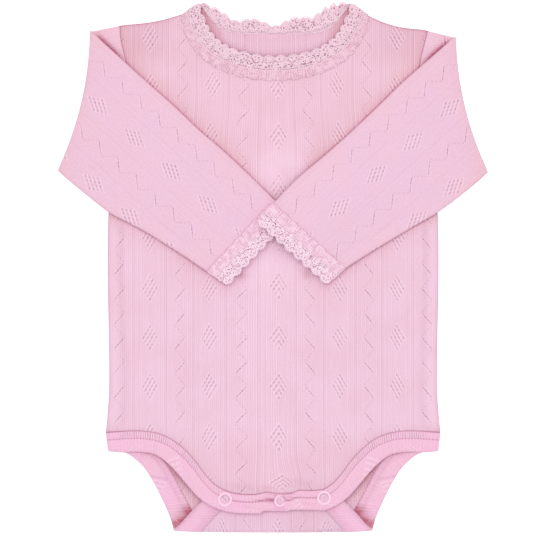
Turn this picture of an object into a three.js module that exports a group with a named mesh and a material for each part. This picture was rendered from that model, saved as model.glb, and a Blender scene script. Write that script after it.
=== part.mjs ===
// Long-sleeved baby bodysuit in pink pointelle rib knit, laid flat on its back at real size.
// Millimetres, +Z up. It rests on z = 0 with the neck towards +Y and both sleeves folded in
// over the front, the wearer's left sleeve (at +X) on top. The origin is the middle of the
// rectangle that the garment covers.
import * as THREE from 'three';
import { mergeVertices } from 'three/addons/utils/BufferGeometryUtils.js';

// Driving sizes.
const CLOTH = 1.0;              // wall of the rib knit
const BAND = 1.6;               // leg bands and hem, the same knit folded double
const LACE = 1.0;               // crocheted lace trim
const GAP = 0.3;                // between pieces at seams and between layers
const ARMHOLE_GAP = 0.4;        // measured across, where the seam curves
const CENTRE = 0.4;             // middle of the body across the garment
const NECK_CENTRE = 1.7;        // middle of the neckline, pulled a little to the right
const BODY_HALF = 115.5;        // half the width at the chest
const ARMHOLE_HALF = 102;       // half the width between the armholes

// Height of the stacked layers.
const LUMEN = 0.3;              // air inside a flattened sleeve
const SLEEVE_BEND = 3.0;        // outer radius of the sleeves' fold
const CROTCH_BEND = 1.9;        // outer radius of the fold under the crotch
const SNAP_ROOM = 2.0;          // the snaps hold the hem this far off the crotch tab

// Relief of the front: how far it stands up between its side seams, where the sleeves press
// it down, the waves across its lower half, its rise to the hem and the creases at the snap.
const CROWN = { height: 0.9, sideRun: 26, shoulderRun: 30 };
const UNDERARM = { up: 45, run: 50 };
const PRESS = { x: 2, y: 38, spread: 34, depth: 0.55 };
const WAVES = { height: 0.42, length: 13.5, shift: 12, top: 8, bottom: -128, fade: 40 };
const HEM_RISE = { from: -92, run: 55, half: 42, fade: 40 };
const PUCKER = { height: 0.45, spread: 12, creases: 3, turn: 0.6 };

// Rise of the cuffs for the lace under them, and of the upper sleeve over the other's tip, by
// the distance from the lace's free edge and the share of the sleeve's width.
const CUFF_RISE = { height: 0.95, from: 36, run: 20 };
const TIP_RISE = { height: 5.4, from: 26, run: 62, fromShare: 0.38, shareRun: 0.55 };

const SCALLOP = { free: 2.2, sewn: 0.8, cuffCount: 7, neckCount: 17 };

// Snap fasteners.
const SNAP = { radius: 5.0, hole: 3.3, height: 0.9, studRadius: 4.0, waist: 0.8, facets: 18 };
const SNAPS = [
  { name: 'left', x: -33.2, y: -162.0, tilt: 0 },
  { name: 'middle', x: 6.0, y: -163.0, tilt: 0.14 },
  { name: 'right', x: 36.0, y: -161.0, tilt: 0 },
];

// Outlines, each row one point, in the order in which the cloth is sewn.
// Shoulder seams, from the armhole to the neck point.
const SHOULDER = {
  left: { armX: -107.2, armY: 167.8 },
  right: { armX: 108.9, armY: 164.4 },
};
const NECK_POINT = { out: 58.5, up: 176.2 };
// Armhole seams from the shoulder to the underarm: distance out from the middle, and height.
const ARMHOLE = [
  { out: 106.6, up: 158.0 },
  { out: 103.2, up: 143.6 },
  { out: 101.2, up: 121.0 },
  { out: 102.6, up: 96.3 },
  { out: 107.4, up: 71.8 },
  { out: 114.4, up: 50.6 },
];
// Side seams from the underarm to the leg band.
const SIDE = [
  { out: 115.4, up: 36.0 },
  { out: 115.9, up: 0.0 },
  { out: 115.4, up: -50.0 },
  { out: 115.5, up: -92.0 },
  { out: 116.2, up: -115.6 },
];
// Cut edges of the necklines, from the neck point to the middle.
const FRONT_NECKLINE = [
  { out: 57.5, up: 168.0 },
  { out: 54.0, up: 158.5 },
  { out: 48.5, up: 151.0 },
  { out: 40.5, up: 145.5 },
  { out: 30.0, up: 141.5 },
  { out: 16.0, up: 139.0 },
];
const FRONT_NECK_LOW = 138.3;
const BACK_NECKLINE = [
  { out: 52.0, up: 177.2 },
  { out: 46.0, up: 175.6 },
  { out: 40.0, up: 172.4 },
  { out: 31.0, up: 169.0 },
  { out: 23.0, up: 167.0 },
  { out: 15.0, up: 165.0 },
];
const BACK_NECK_LOW = 162.6;
// Neck lace: the edge sewn on the front and its free edge, from the shoulder to the middle.
const FRONT_LACE = [
  { sewnOut: 65.0, sewnUp: 174.8, freeOut: 53.6, freeUp: 183.6 },
  { sewnOut: 62.4, sewnUp: 163.0, freeOut: 50.2, freeUp: 172.2 },
  { sewnOut: 55.6, sewnUp: 152.0, freeOut: 45.6, freeUp: 162.6 },
  { sewnOut: 45.6, sewnUp: 143.0, freeOut: 37.4, freeUp: 156.0 },
  { sewnOut: 32.0, sewnUp: 136.4, freeOut: 27.8, freeUp: 151.4 },
  { sewnOut: 16.0, sewnUp: 132.4, freeOut: 14.0, freeUp: 148.4 },
  { sewnOut: 0, sewnUp: 131.2, freeOut: 0, freeUp: 147.2 },
];
// Free edge of the lace round the back of the neck, from left to right.
const BACK_LACE_EDGE = [
  { x: -55.8, y: 183.0 },
  { x: -50.4, y: 185.4 },
  { x: -43.6, y: 184.0 },
  { x: -35.8, y: 180.2 },
  { x: -29.0, y: 174.6 },
  { x: -22.8, y: 173.2 },
  { x: -15.6, y: 175.0 },
  { x: -8.0, y: 173.4 },
  { x: -0.6, y: 169.8 },
  { x: 5.0, y: 170.4 },
  { x: 11.4, y: 174.4 },
  { x: 19.4, y: 176.0 },
  { x: 28.0, y: 176.2 },
  { x: 34.0, y: 180.4 },
  { x: 39.6, y: 184.2 },
  { x: 45.6, y: 185.85 },
  { x: 52.6, y: 185.6 },
  { x: 58.6, y: 183.0 },
];
// Front leg bands: the seam to the front and the free edge, from the side seam to the hem.
const FRONT_LEG = [
  { seamOut: 116.2, seamUp: -115.6, freeOut: 113.6, freeUp: -128.6 },
  { seamOut: 107.5, seamUp: -114.9, freeOut: 106.0, freeUp: -129.5 },
  { seamOut: 99.0, seamUp: -114.4, freeOut: 98.0, freeUp: -129.1 },
  { seamOut: 89.4, seamUp: -114.6, freeOut: 89.4, freeUp: -129.6 },
  { seamOut: 80.0, seamUp: -116.4, freeOut: 82.0, freeUp: -131.4 },
  { seamOut: 70.5, seamUp: -120.6, freeOut: 74.4, freeUp: -136.6 },
  { seamOut: 61.7, seamUp: -127.5, freeOut: 67.2, freeUp: -143.8 },
  { seamOut: 54.0, seamUp: -135.7, freeOut: 60.3, freeUp: -152.0 },
  { seamOut: 47.7, seamUp: -144.2, freeOut: 52.8, freeUp: -160.2 },
  { seamOut: 41.2, seamUp: -151.2, freeOut: 44.5, freeUp: -166.2 },
  { seamOut: 35.2, seamUp: -155.0, freeOut: 36.0, freeUp: -169.8 },
];
// The hem between the leg bands: its seam and its free edge at the middle, and how far the
// middle snap lifts the edge.
const HEM = { seamLow: -158.2, edgeLow: -171.2, lift: 1.3 };
// Back leg bands down to the crotch fold.
const BACK_LEG = [
  { seamOut: 116.2, seamUp: -115.6, freeOut: 113.2, freeUp: -128.2 },
  { seamOut: 104.0, seamUp: -115.6, freeOut: 105.0, freeUp: -129.6 },
  { seamOut: 92.4, seamUp: -120.0, freeOut: 98.6, freeUp: -132.8 },
  { seamOut: 81.6, seamUp: -128.6, freeOut: 90.6, freeUp: -140.2 },
  { seamOut: 72.6, seamUp: -141.2, freeOut: 84.8, freeUp: -149.0 },
  { seamOut: 65.2, seamUp: -155.2, freeOut: 79.2, freeUp: -159.6 },
  { seamOut: 58.6, seamUp: -167.4, freeOut: 74.8, freeUp: -169.0 },
];
// The crotch tab, from the fold line on: length past the line, half width of the panel, of all.
const TAB = [
  { past: -7.0, seamOut: 53.0, freeOut: 72.2 },
  { past: -2.0, seamOut: 51.0, freeOut: 70.6 },
  { past: 0, seamOut: 50.2, freeOut: 70.0 },
  { past: 1.1, seamOut: 49.8, freeOut: 69.8 },
  { past: 2.2, seamOut: 49.4, freeOut: 69.5 },
  { past: 3.3, seamOut: 49.0, freeOut: 69.2 },
  { past: 4.4, seamOut: 48.6, freeOut: 68.6 },
  { past: 7.0, seamOut: 46.0, freeOut: 65.6 },
  { past: 11.0, seamOut: 42.0, freeOut: 61.6 },
  { past: 17.0, seamOut: 36.2, freeOut: 55.8 },
  { past: 24.0, seamOut: 29.4, freeOut: 49.4 },
  { past: 33.0, seamOut: 22.0, freeOut: 41.6 },
];
const FOLD_END_ROW = 6;
const CROTCH_EDGE = { low: -185.85, rise: 3.8, half: 70 };

// Sleeves from the fold to the lace's free edge: the two ends of each section and its bow.
// Row 8 is the lace's sewn edge and row 9 the end of the cloth.
const SLEEVE_LEFT = {
  armholeSign: -1,
  fold: { upperX: -127.0, upperY: 164.2, lowerX: -149.45, lowerY: 69.7, bow: 5.0 },
  rows: [
    { upperX: -118.0, upperY: 157.2, lowerX: -132.0, lowerY: 54.3, bow: 3.0 },
    { upperX: -101.9, upperY: 142.5, lowerX: -114.5, lowerY: 38.9, bow: 1.0 },
    { upperX: -85.8, upperY: 128.0, lowerX: -99.8, lowerY: 30.8, bow: 0 },
    { upperX: -68.3, upperY: 112.4, lowerX: -86.5, lowerY: 23.5, bow: 0 },
    { upperX: -52.2, upperY: 97.0, lowerX: -73.5, lowerY: 15.3, bow: 0 },
    { upperX: -35.6, upperY: 82.8, lowerX: -62.0, lowerY: 8.0, bow: 0 },
    { upperX: -18.0, upperY: 66.4, lowerX: -53.3, lowerY: 2.1, bow: 0 },
    { upperX: 1.5, upperY: 47.2, lowerX: -45.6, lowerY: -3.1, bow: 0 },
    { upperX: 6.7, upperY: 41.9, lowerX: -39.3, lowerY: -7.4, bow: 0 },
    { upperX: 12.3, upperY: 36.1, lowerX: -32.6, lowerY: -11.9, bow: 0 },
  ],
};
const SLEEVE_RIGHT = {
  armholeSign: 1,
  fold: { upperX: 127.8, upperY: 160.0, lowerX: 149.45, lowerY: 69.7, bow: 4.0 },
  rows: [
    { upperX: 119.4, upperY: 154.4, lowerX: 132.0, lowerY: 53.6, bow: 2.6 },
    { upperX: 108.2, upperY: 144.6, lowerX: 115.2, lowerY: 38.2, bow: 1.0 },
    { upperX: 90.0, upperY: 128.7, lowerX: 99.5, lowerY: 29.2, bow: 0 },
    { upperX: 72.0, upperY: 111.0, lowerX: 86.0, lowerY: 21.0, bow: 0 },
    { upperX: 54.0, upperY: 94.0, lowerX: 74.5, lowerY: 14.2, bow: 0 },
    { upperX: 36.0, upperY: 78.0, lowerX: 64.5, lowerY: 8.0, bow: 0 },
    { upperX: 17.0, upperY: 61.9, lowerX: 57.0, lowerY: 3.2, bow: 0 },
    { upperX: 0.2, upperY: 44.4, lowerX: 50.7, lowerY: -1.0, bow: 0 },
    { upperX: -4.8, upperY: 38.8, lowerX: 44.9, lowerY: -5.9, bow: 0 },
    { upperX: -10.2, upperY: 32.9, lowerX: 38.9, lowerY: -11.2, bow: 0 },
  ],
};
const SEWN_ROW = 8;
// Rings of the mesh: shares of the way to the fold, shares of the fold, and rows after it.
const LOWER_RINGS = [0, 0.5, 1];
const FOLD_RINGS = [0.2, 0.4, 0.6, 0.8, 1];
const SLEEVE_RINGS = [0.5, 1, 2, 3, 4, 4.5, 5, 5.5, 6, 6.5, 7, 7.5, 8, 9];
const EDGE_TURNS = 4;

const lerp = THREE.MathUtils.lerp;
const point = (x, y) => new THREE.Vector2(x, y);

// 0 to 1 with level ends.
function smooth(value) {
  const t = THREE.MathUtils.clamp(value, 0, 1);
  return t * t * (3 - 2 * t);
}

// A smooth curve through points that share a parameter from 0 to 1.
function through(points) {
  const curve = new THREE.SplineCurve(points);
  return (t) => curve.getPoint(THREE.MathUtils.clamp(t, 0, 1));
}

// Equal steps of a curve, both ends included.
function samples(curve, steps) {
  return Array.from({ length: steps + 1 }, (_, i) => curve(i / steps));
}

// Height of the underside of the front over the floor, also beyond its edges.
function frontFloor(x, y) {
  const outX = Math.abs(x - CENTRE);
  const half = lerp(BODY_HALF, ARMHOLE_HALF, smooth((y - UNDERARM.up) / UNDERARM.run));
  const shoulderY = lerp(NECK_POINT.up, SHOULDER.left.armY, Math.abs(x) / BODY_HALF);
  const inside = smooth((half - outX) / CROWN.sideRun) * smooth((shoulderY - y) / CROWN.shoulderRun);
  const pressed = PRESS.depth * bump(x - PRESS.x, y - PRESS.y, PRESS.spread);
  const waveEnds = smooth((WAVES.top - y) / WAVES.fade) * smooth((y - WAVES.bottom) / WAVES.fade);
  const waves = WAVES.height * Math.sin((x + WAVES.shift) / WAVES.length) * waveEnds;
  const hemHeight = 2 * CROTCH_BEND + SNAP_ROOM - CLOTH - GAP - CROWN.height;
  const hemSides = 1 - smooth((outX - HEM_RISE.half) / HEM_RISE.fade);
  const rise = hemHeight * smooth((HEM_RISE.from - y) / HEM_RISE.run) * hemSides;
  return CLOTH + GAP + inside * (CROWN.height + waves - pressed) + rise + snapPucker(x, y);
}

// A round bump of height 1 that fades over its spread.
function bump(across, up, spread) {
  return Math.exp(-(across ** 2 + up ** 2) / (2 * spread ** 2));
}

// Soft creases that run in to the middle snap, where the hem is pulled up.
function snapPucker(x, y) {
  const { x: snapX, y: snapY } = SNAPS[1];
  const across = x - snapX;
  const up = y - snapY;
  const creases = 1 + Math.cos(PUCKER.creases * Math.atan2(up, across) + PUCKER.turn);
  return PUCKER.height * bump(across, up, PUCKER.spread) * creases;
}

// Turns a body's faces outwards.
function outward(positions, triangles) {
  const corner = new THREE.Vector3();
  const second = new THREE.Vector3();
  const third = new THREE.Vector3();
  let volume = 0;
  for (let k = 0; k < triangles.length; k += 3) {
    corner.fromArray(positions, 3 * triangles[k]);
    second.fromArray(positions, 3 * triangles[k + 1]);
    third.fromArray(positions, 3 * triangles[k + 2]);
    volume += corner.dot(second.cross(third));
  }
  if (volume < 0) triangles.reverse();
  const geometry = new THREE.BufferGeometry();
  geometry.setAttribute('position', new THREE.Float32BufferAttribute(positions, 3));
  geometry.setIndex(triangles);
  return geometry;
}

// A closed body from cells of a grid. place(i, j, face) gives a corner on the lower (0) or
// upper (1) face, and the open edges are closed between the faces.
function clothFromCells(cells, place) {
  const index = new Map();
  const positions = [];
  const triangles = [];
  const corner = ([i, j], face) => {
    const key = `${i},${j},${face}`;
    if (!index.has(key)) {
      index.set(key, positions.length / 3);
      positions.push(...place(i, j, face));
    }
    return index.get(key);
  };
  const quad = (a, b, c, d) => triangles.push(a, b, c, a, c, d);
  const open = new Map();
  for (const cell of cells) {
    const [a, b, c, d] = cell;
    quad(corner(a, 1), corner(b, 1), corner(c, 1), corner(d, 1));
    quad(corner(d, 0), corner(c, 0), corner(b, 0), corner(a, 0));
    for (let k = 0; k < 4; k += 1) {
      const from = cell[k];
      const to = cell[(k + 1) % 4];
      if (!open.delete(`${to}|${from}`)) open.set(`${from}|${to}`, [from, to]);
    }
  }
  for (const [from, to] of open.values()) {
    quad(corner(from, 0), corner(to, 0), corner(to, 1), corner(from, 1));
  }
  return outward(positions, triangles);
}

// All cells of a rectangular grid.
function gridCells(columnFrom, columnTo, rowFrom, rowTo) {
  const cells = [];
  for (let i = columnFrom; i < columnTo; i += 1) {
    for (let j = rowFrom; j < rowTo; j += 1) {
      cells.push([[i, j], [i + 1, j], [i + 1, j + 1], [i, j + 1]]);
    }
  }
  return cells;
}

// A tube wall from outer and inner rings of points, open at both ends.
function tubeWall(outer, inner) {
  const rings = outer.length;
  const around = outer[0].length;
  const at = (layer, ring, k) => (layer * rings + ring) * around + (k % around);
  const triangles = [];
  const quad = (a, b, c, d) => triangles.push(a, b, c, a, c, d);
  for (let k = 0; k < around; k += 1) {
    for (let ring = 0; ring < rings - 1; ring += 1) {
      quad(at(0, ring, k), at(0, ring, k + 1), at(0, ring + 1, k + 1), at(0, ring + 1, k));
      quad(at(1, ring, k), at(1, ring + 1, k), at(1, ring + 1, k + 1), at(1, ring, k + 1));
    }
    const last = rings - 1;
    quad(at(0, 0, k), at(1, 0, k), at(1, 0, k + 1), at(0, 0, k + 1));
    quad(at(0, last, k), at(0, last, k + 1), at(1, last, k + 1), at(1, last, k));
  }
  return outward([...outer, ...inner].flat(2), triangles);
}

// Body panels.
const COLUMNS = { shoulder: 4, neck: 18, hem: 6, crotch: 12 };
const ROWS = { side: 11, armhole: 8 };

const sidePoint = (row, sign) => point(CENTRE + sign * row.out, row.up);
const legPoint = (row, edge, sign) => point(CENTRE + sign * row[`${edge}Out`], row[`${edge}Up`]);
const bothSides = (left, middle, right) => [...left, ...middle, ...right.reverse()];

// The armhole seam of one side, from the shoulder to the underarm.
function armhole(sign) {
  const { armX, armY } = sign < 0 ? SHOULDER.left : SHOULDER.right;
  return through([point(armX, armY), ...ARMHOLE.map((row) => sidePoint(row, sign))]);
}

// Side seam and armhole of a panel, from the leg band up to the shoulder.
function sideEdge(sign) {
  const seam = through([ARMHOLE.at(-1), ...SIDE].map((row) => sidePoint(row, sign)));
  const downwards = [...samples(armhole(sign), ROWS.armhole), ...samples(seam, ROWS.side).slice(1)];
  return downwards.reverse();
}

// Shoulders and neckline of a panel, from left to right.
function topEdge(neckline, lowest) {
  const { left, right } = SHOULDER;
  const neckSide = (sign) => [NECK_POINT, ...neckline].map(
    (row) => point(NECK_CENTRE + sign * row.out, row.up),
  );
  const neck = through(bothSides(neckSide(-1), [point(NECK_CENTRE, lowest)], neckSide(1)));
  const leftSeam = (t) => point(left.armX, left.armY).lerp(neck(0), t);
  const rightSeam = (t) => neck(1).lerp(point(right.armX, right.armY), t);
  return [
    ...samples(leftSeam, COLUMNS.shoulder),
    ...samples(neck, COLUMNS.neck).slice(1),
    ...samples(rightSeam, COLUMNS.shoulder).slice(1),
  ];
}

// The seam between the front and its hem, from one leg band to the other.
function hemSeam(t) {
  const end = FRONT_LEG.at(-1);
  const x = lerp(CENTRE - end.seamOut, CENTRE + end.seamOut, t);
  return point(x, lerp(HEM.seamLow, end.seamUp, (2 * t - 1) ** 2));
}

// The hem's free edge, lifted a little where the middle snap pulls it.
function hemEdge(t) {
  const end = FRONT_LEG.at(-1);
  const x = lerp(CENTRE - end.freeOut, CENTRE + end.freeOut, t);
  const lift = HEM.lift * Math.exp(-((x - SNAPS[1].x) ** 2) / (2 * 8 ** 2));
  return point(x, lerp(HEM.edgeLow, end.freeUp, (2 * t - 1) ** 2) + lift);
}

// The line across the back where the crotch tab begins.
function crotchLine(t) {
  const x = lerp(CENTRE - TAB[0].seamOut, CENTRE + TAB[0].seamOut, t);
  return point(x, foldLine(x) - TAB[0].past);
}

function panelEdges(legRows, middle, neckline, lowest) {
  const legSide = (sign) => legRows.map((row) => legPoint(row, 'seam', sign));
  return {
    bottom: bothSides(legSide(-1), middle, legSide(1)),
    top: topEdge(neckline, lowest),
    left: sideEdge(-1),
    right: sideEdge(1),
  };
}

// A point inside a panel's four edges, by its column and row.
function insideEdges({ bottom, top, left, right }, i, j) {
  const s = i / (bottom.length - 1);
  const v = j / (left.length - 1);
  const mix = (axis) => {
    const rows = lerp(bottom[i][axis], top[i][axis], v);
    const sides = lerp(left[j][axis], right[j][axis], s);
    const low = lerp(bottom[0][axis], bottom.at(-1)[axis], s);
    const high = lerp(top[0][axis], top.at(-1)[axis], s);
    return rows + sides - lerp(low, high, v);
  };
  return { x: mix('x'), y: mix('y') };
}

function frontPanel() {
  const hem = samples(hemSeam, COLUMNS.hem).slice(1, -1);
  const edges = panelEdges(FRONT_LEG, hem, FRONT_NECKLINE, FRONT_NECK_LOW);
  const cells = gridCells(0, edges.bottom.length - 1, 0, edges.left.length - 1);
  return clothFromCells(cells, (i, j, face) => {
    const { x, y } = insideEdges(edges, i, j);
    return [x, y, frontFloor(x, y) + face * CLOTH];
  });
}

// Where the middle of the crotch fold's bend lies, across the garment.
function foldLine(x) {
  const { low, rise, half } = CROTCH_EDGE;
  return low + rise * ((x - CENTRE) / half) ** 2 + CROTCH_BEND;
}

// A point of the back at a length past the fold line and a height in the cloth, folded over.
function folded(x, past, height) {
  const line = foldLine(x);
  const radius = CROTCH_BEND - height;
  const arc = TAB[FOLD_END_ROW].past;
  if (past <= 0) return [x, line - past, height];
  if (past >= arc) return [x, line + past - arc, CROTCH_BEND + radius];
  const turn = (past / arc) * Math.PI;
  return [x, line - radius * Math.sin(turn), CROTCH_BEND - radius * Math.cos(turn)];
}

// The back with its crotch tab, which turns up over the fold and runs in under the hem.
function backPanel() {
  const edges = panelEdges(BACK_LEG, samples(crotchLine, COLUMNS.crotch), BACK_NECKLINE, BACK_NECK_LOW);
  const columns = edges.bottom.length - 1;
  const tabFrom = BACK_LEG.length;
  const tabTo = columns - BACK_LEG.length;
  const cells = [
    ...gridCells(0, columns, 0, edges.left.length - 1),
    ...gridCells(tabFrom, tabTo, 1 - TAB.length, 0),
  ];
  return clothFromCells(cells, (i, j, face) => {
    if (j >= 0) {
      const { x, y } = insideEdges(edges, i, j);
      return [x, y, face * CLOTH];
    }
    const { past, seamOut } = TAB[-j];
    const across = lerp(-1, 1, (i - tabFrom) / (tabTo - tabFrom));
    return folded(CENTRE + across * seamOut, past, face * CLOTH);
  });
}

// A strip between two edges, cut back from its seam and its ends by the gap.
function strip(edgePairs, across, place) {
  const rungs = edgePairs.length - 1;
  return clothFromCells(gridCells(0, rungs, 0, across), (i, j, face) => {
    const { seam, free } = edgePairs[i];
    const inset = GAP / seam.distanceTo(free);
    return place(seam.clone().lerp(free, lerp(inset, 1, j / across)), face, i, j / across);
  });
}

// A leg band of the front, which lies on the back's band at the side seam.
function frontLegBand(sign) {
  const pairs = FRONT_LEG.map((row) => (
    { seam: legPoint(row, 'seam', sign), free: legPoint(row, 'free', sign) }
  ));
  return strip(pairs, 2, ({ x, y }, face, i) => {
    const end = i === FRONT_LEG.length - 1 ? sign * GAP / 2 : 0;
    return [x + end, y, Math.max(frontFloor(x, y), BAND + GAP) + face * BAND];
  });
}

function frontHemBand() {
  const steps = 24;
  const pairs = Array.from({ length: steps + 1 }, (_, i) => (
    { seam: hemSeam(i / steps), free: hemEdge(i / steps) }
  ));
  const squeeze = 1 - GAP / 2 / FRONT_LEG.at(-1).seamOut;
  return strip(pairs, 3, ({ x, y }, face) => {
    const inX = CENTRE + (x - CENTRE) * squeeze;
    return [inX, y, frontFloor(inX, y) + face * BAND];
  });
}

// A leg band of the back, which runs on round the crotch fold along the tab.
function backLegBand(sign) {
  const across = 2;
  const slantedGap = 1.2 * GAP;
  const rungs = BACK_LEG.length + TAB.length - 1;
  return clothFromCells(gridCells(0, rungs, 0, across), (i, j, face) => {
    const row = BACK_LEG[i] ?? TAB[i - BACK_LEG.length];
    if (i < BACK_LEG.length) {
      const seam = legPoint(row, 'seam', sign);
      const free = legPoint(row, 'free', sign);
      const { x, y } = seam.lerp(free, lerp(GAP / seam.distanceTo(free), 1, j / across));
      return [x, y, face * BAND];
    }
    const out = lerp(row.seamOut + slantedGap, row.freeOut, j / across);
    return folded(CENTRE + sign * out, row.past, face * BAND);
  });
}

// Sleeves: a flattened tube that leaves the armhole, turns over at its fold and lies back on
// the front. Sections run from the upper edge (0) to the underarm edge (1).
const SLEEVE_HALF = CLOTH + LUMEN / 2;

// A section between two ends, bowed inwards by a parabola.
function section({ upperX, upperY, lowerX, lowerY, bow }, sign, inset) {
  const upper = point(upperX, upperY);
  const lower = point(lowerX, lowerY);
  const out = lower.clone().sub(upper).rotateAround(point(0, 0), sign * Math.PI / 2).normalize();
  return (t) => upper.clone().lerp(lower, t).addScaledVector(out, -inset - bow * 4 * t * (1 - t));
}

function sleeveShape(sleeve) {
  const sign = sleeve.armholeSign;
  const seam = armhole(sign);
  const fold = section(sleeve.fold, sign, SLEEVE_BEND);
  const rows = [fold, ...sleeve.rows.map((row) => section(row, sign, 0))];
  const last = sleeve.rows.at(-1);
  const cuffUpper = point(last.upperX, last.upperY);
  const cuffLower = point(last.lowerX, last.lowerY);
  const cuffOut = cuffLower.clone().sub(cuffUpper).rotateAround(point(0, 0), -sign * Math.PI / 2);
  cuffOut.normalize();
  const foldOut = point(sleeve.fold.lowerX - sleeve.fold.upperX, sleeve.fold.lowerY - sleeve.fold.upperY);
  foldOut.rotateAround(point(0, 0), sign * Math.PI / 2).normalize();

  // Height of the folded part's underside.
  const underside = (plan, t) => {
    const fromEdge = cuffUpper.clone().sub(plan).dot(cuffOut);
    const cuffRise = CUFF_RISE.height * smooth((CUFF_RISE.from - fromEdge) / CUFF_RISE.run);
    const nearTip = 1 - smooth((fromEdge - TIP_RISE.from) / TIP_RISE.run);
    const nearUpper = 1 - smooth((t - TIP_RISE.fromShare) / TIP_RISE.shareRun);
    const overTip = sign > 0 ? TIP_RISE.height * nearTip * nearUpper : 0;
    return 2 * (SLEEVE_BEND - SLEEVE_HALF) + cuffRise + overTip;
  };
  return {
    // The part that leaves the armhole: 0 at the seam, 1 at the fold.
    lower: (f, t, height) => {
      const from = seam(t).add(point(sign * ARMHOLE_GAP, 0));
      const { x, y } = from.lerp(fold(t), f);
      return [x, y, height];
    },
    // The fold, by its angle.
    bend: (turn, t, height) => {
      const radius = SLEEVE_BEND - height;
      const { x, y } = fold(t).addScaledVector(foldOut, radius * Math.sin(turn));
      return [x, y, SLEEVE_BEND - radius * Math.cos(turn)];
    },
    // The part that lies on the front, by its row: 0 at the fold.
    upper: (row, t, height, push = 0) => {
      const plan = through(rows.map((line) => line(t)))(row / (rows.length - 1));
      const z = underside(plan, t) + 2 * SLEEVE_HALF - height;
      plan.addScaledVector(cuffOut, push);
      return [plan.x, plan.y, z];
    },
    width: (row) => through(rows.map((line) => line(0)))(row / (rows.length - 1)).distanceTo(
      through(rows.map((line) => line(1)))(row / (rows.length - 1)),
    ),
    seamWidth: seam(0).distanceTo(seam(1)),
    foldWidth: fold(0).distanceTo(fold(1)),
  };
}

// One ring round a flattened tube of a given half height: each point's share of the width,
// and its height over the tube's lower side.
function ringPoints(width, half, steps, edgeTurns) {
  const inset = SLEEVE_HALF / width;
  const along = (t) => lerp(inset, 1 - inset, t);
  const points = [];
  for (let k = 0; k <= steps; k += 1) {
    points.push({ t: along(k / steps), height: SLEEVE_HALF - half, share: k / steps });
  }
  for (let k = 1; k < edgeTurns; k += 1) {
    const turn = (k / edgeTurns) * Math.PI;
    const t = 1 - inset + (half / width) * Math.sin(turn);
    points.push({ t, height: SLEEVE_HALF - half * Math.cos(turn), share: 1 });
  }
  for (let k = steps; k >= 0; k -= 1) {
    points.push({ t: along(k / steps), height: SLEEVE_HALF + half, share: k / steps });
  }
  for (let k = 1; k < edgeTurns; k += 1) {
    const turn = (k / edgeTurns) * Math.PI;
    const t = inset - (half / width) * Math.sin(turn);
    points.push({ t, height: SLEEVE_HALF + half * Math.cos(turn), share: 0 });
  }
  return points;
}

function sleeve(table) {
  const shape = sleeveShape(table);
  const around = (width, half, place) => ringPoints(width, half, ROWS.armhole, EDGE_TURNS).map(
    ({ t, height }) => place(t, height),
  );
  const rings = (half) => {
    const list = [];
    for (const f of LOWER_RINGS) {
      const width = lerp(shape.seamWidth, shape.foldWidth, f);
      list.push(around(width, half, (t, height) => shape.lower(f, t, height)));
    }
    for (const turn of FOLD_RINGS) {
      list.push(around(shape.foldWidth, half, (t, height) => shape.bend(turn * Math.PI, t, height)));
    }
    for (const row of SLEEVE_RINGS) {
      list.push(around(shape.width(row), half, (t, height) => shape.upper(row, t, height)));
    }
    return list;
  };
  return tubeWall(rings(SLEEVE_HALF), rings(LUMEN / 2));
}

// The lace round a cuff, with a scalloped free edge.
function cuffLace(table) {
  const shape = sleeveShape(table);
  const scallop = (share) => Math.abs(Math.sin(share * Math.PI * SCALLOP.cuffCount));
  const rings = (half) => [0, 0.5, 1, 1.5, 2].map((step) => {
    const row = SEWN_ROW + step;
    const ring = ringPoints(shape.width(row), half, 4 * SCALLOP.cuffCount, EDGE_TURNS);
    return ring.map(({ t, height, share }) => {
      const sewn = step === 0 ? -SCALLOP.sewn * scallop(share) : 0;
      const free = step === 2 ? SCALLOP.free * scallop(share) : 0;
      return shape.upper(row, t, height, sewn + free);
    });
  });
  return tubeWall(rings(SLEEVE_HALF + GAP + LACE), rings(SLEEVE_HALF + GAP));
}

// The lace over the front neckline, sewn flat on the panel, its free edge scalloped.
function neckLaceFront() {
  const curve = (edge) => {
    const side = (sign) => FRONT_LACE.map(
      (row) => point(NECK_CENTRE + sign * row[`${edge}Out`], row[`${edge}Up`]),
    );
    return through(bothSides(side(-1).slice(0, -1), [side(1).at(-1)], side(1).slice(0, -1)));
  };
  const sewnEdge = curve('sewn');
  const freeEdge = curve('free');
  const steps = 4 * SCALLOP.neckCount;
  const across = 3;
  return clothFromCells(gridCells(0, steps, 0, across), (i, j, face) => {
    const t = i / steps;
    const wave = Math.abs(Math.sin(t * Math.PI * SCALLOP.neckCount));
    const sewn = sewnEdge(t);
    const free = freeEdge(t);
    const direction = free.clone().sub(sewn).normalize();
    sewn.addScaledVector(direction, -SCALLOP.sewn * wave);
    free.addScaledVector(direction, SCALLOP.free * wave);
    const { x, y } = sewn.lerp(free, j / across);
    return [x, y, frontFloor(x, y) + CLOTH + GAP + face * LACE];
  });
}

// The lace that stands up along the back neckline.
function neckLaceBack() {
  const { shoulder, neck } = COLUMNS;
  const seam = topEdge(BACK_NECKLINE, BACK_NECK_LOW).slice(shoulder, shoulder + neck + 1);
  const edge = through(BACK_LACE_EDGE.map(({ x, y }) => point(x, y)));
  const pairs = [];
  for (let i = 0; i <= 2 * neck; i += 1) {
    const before = seam[Math.floor(i / 2)];
    const after = seam[Math.ceil(i / 2)];
    pairs.push({ seam: before.clone().lerp(after, 0.5), free: edge(i / (2 * neck)) });
  }
  return strip(pairs, 2, ({ x, y }, face) => [x, y, face * LACE]);
}

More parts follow.
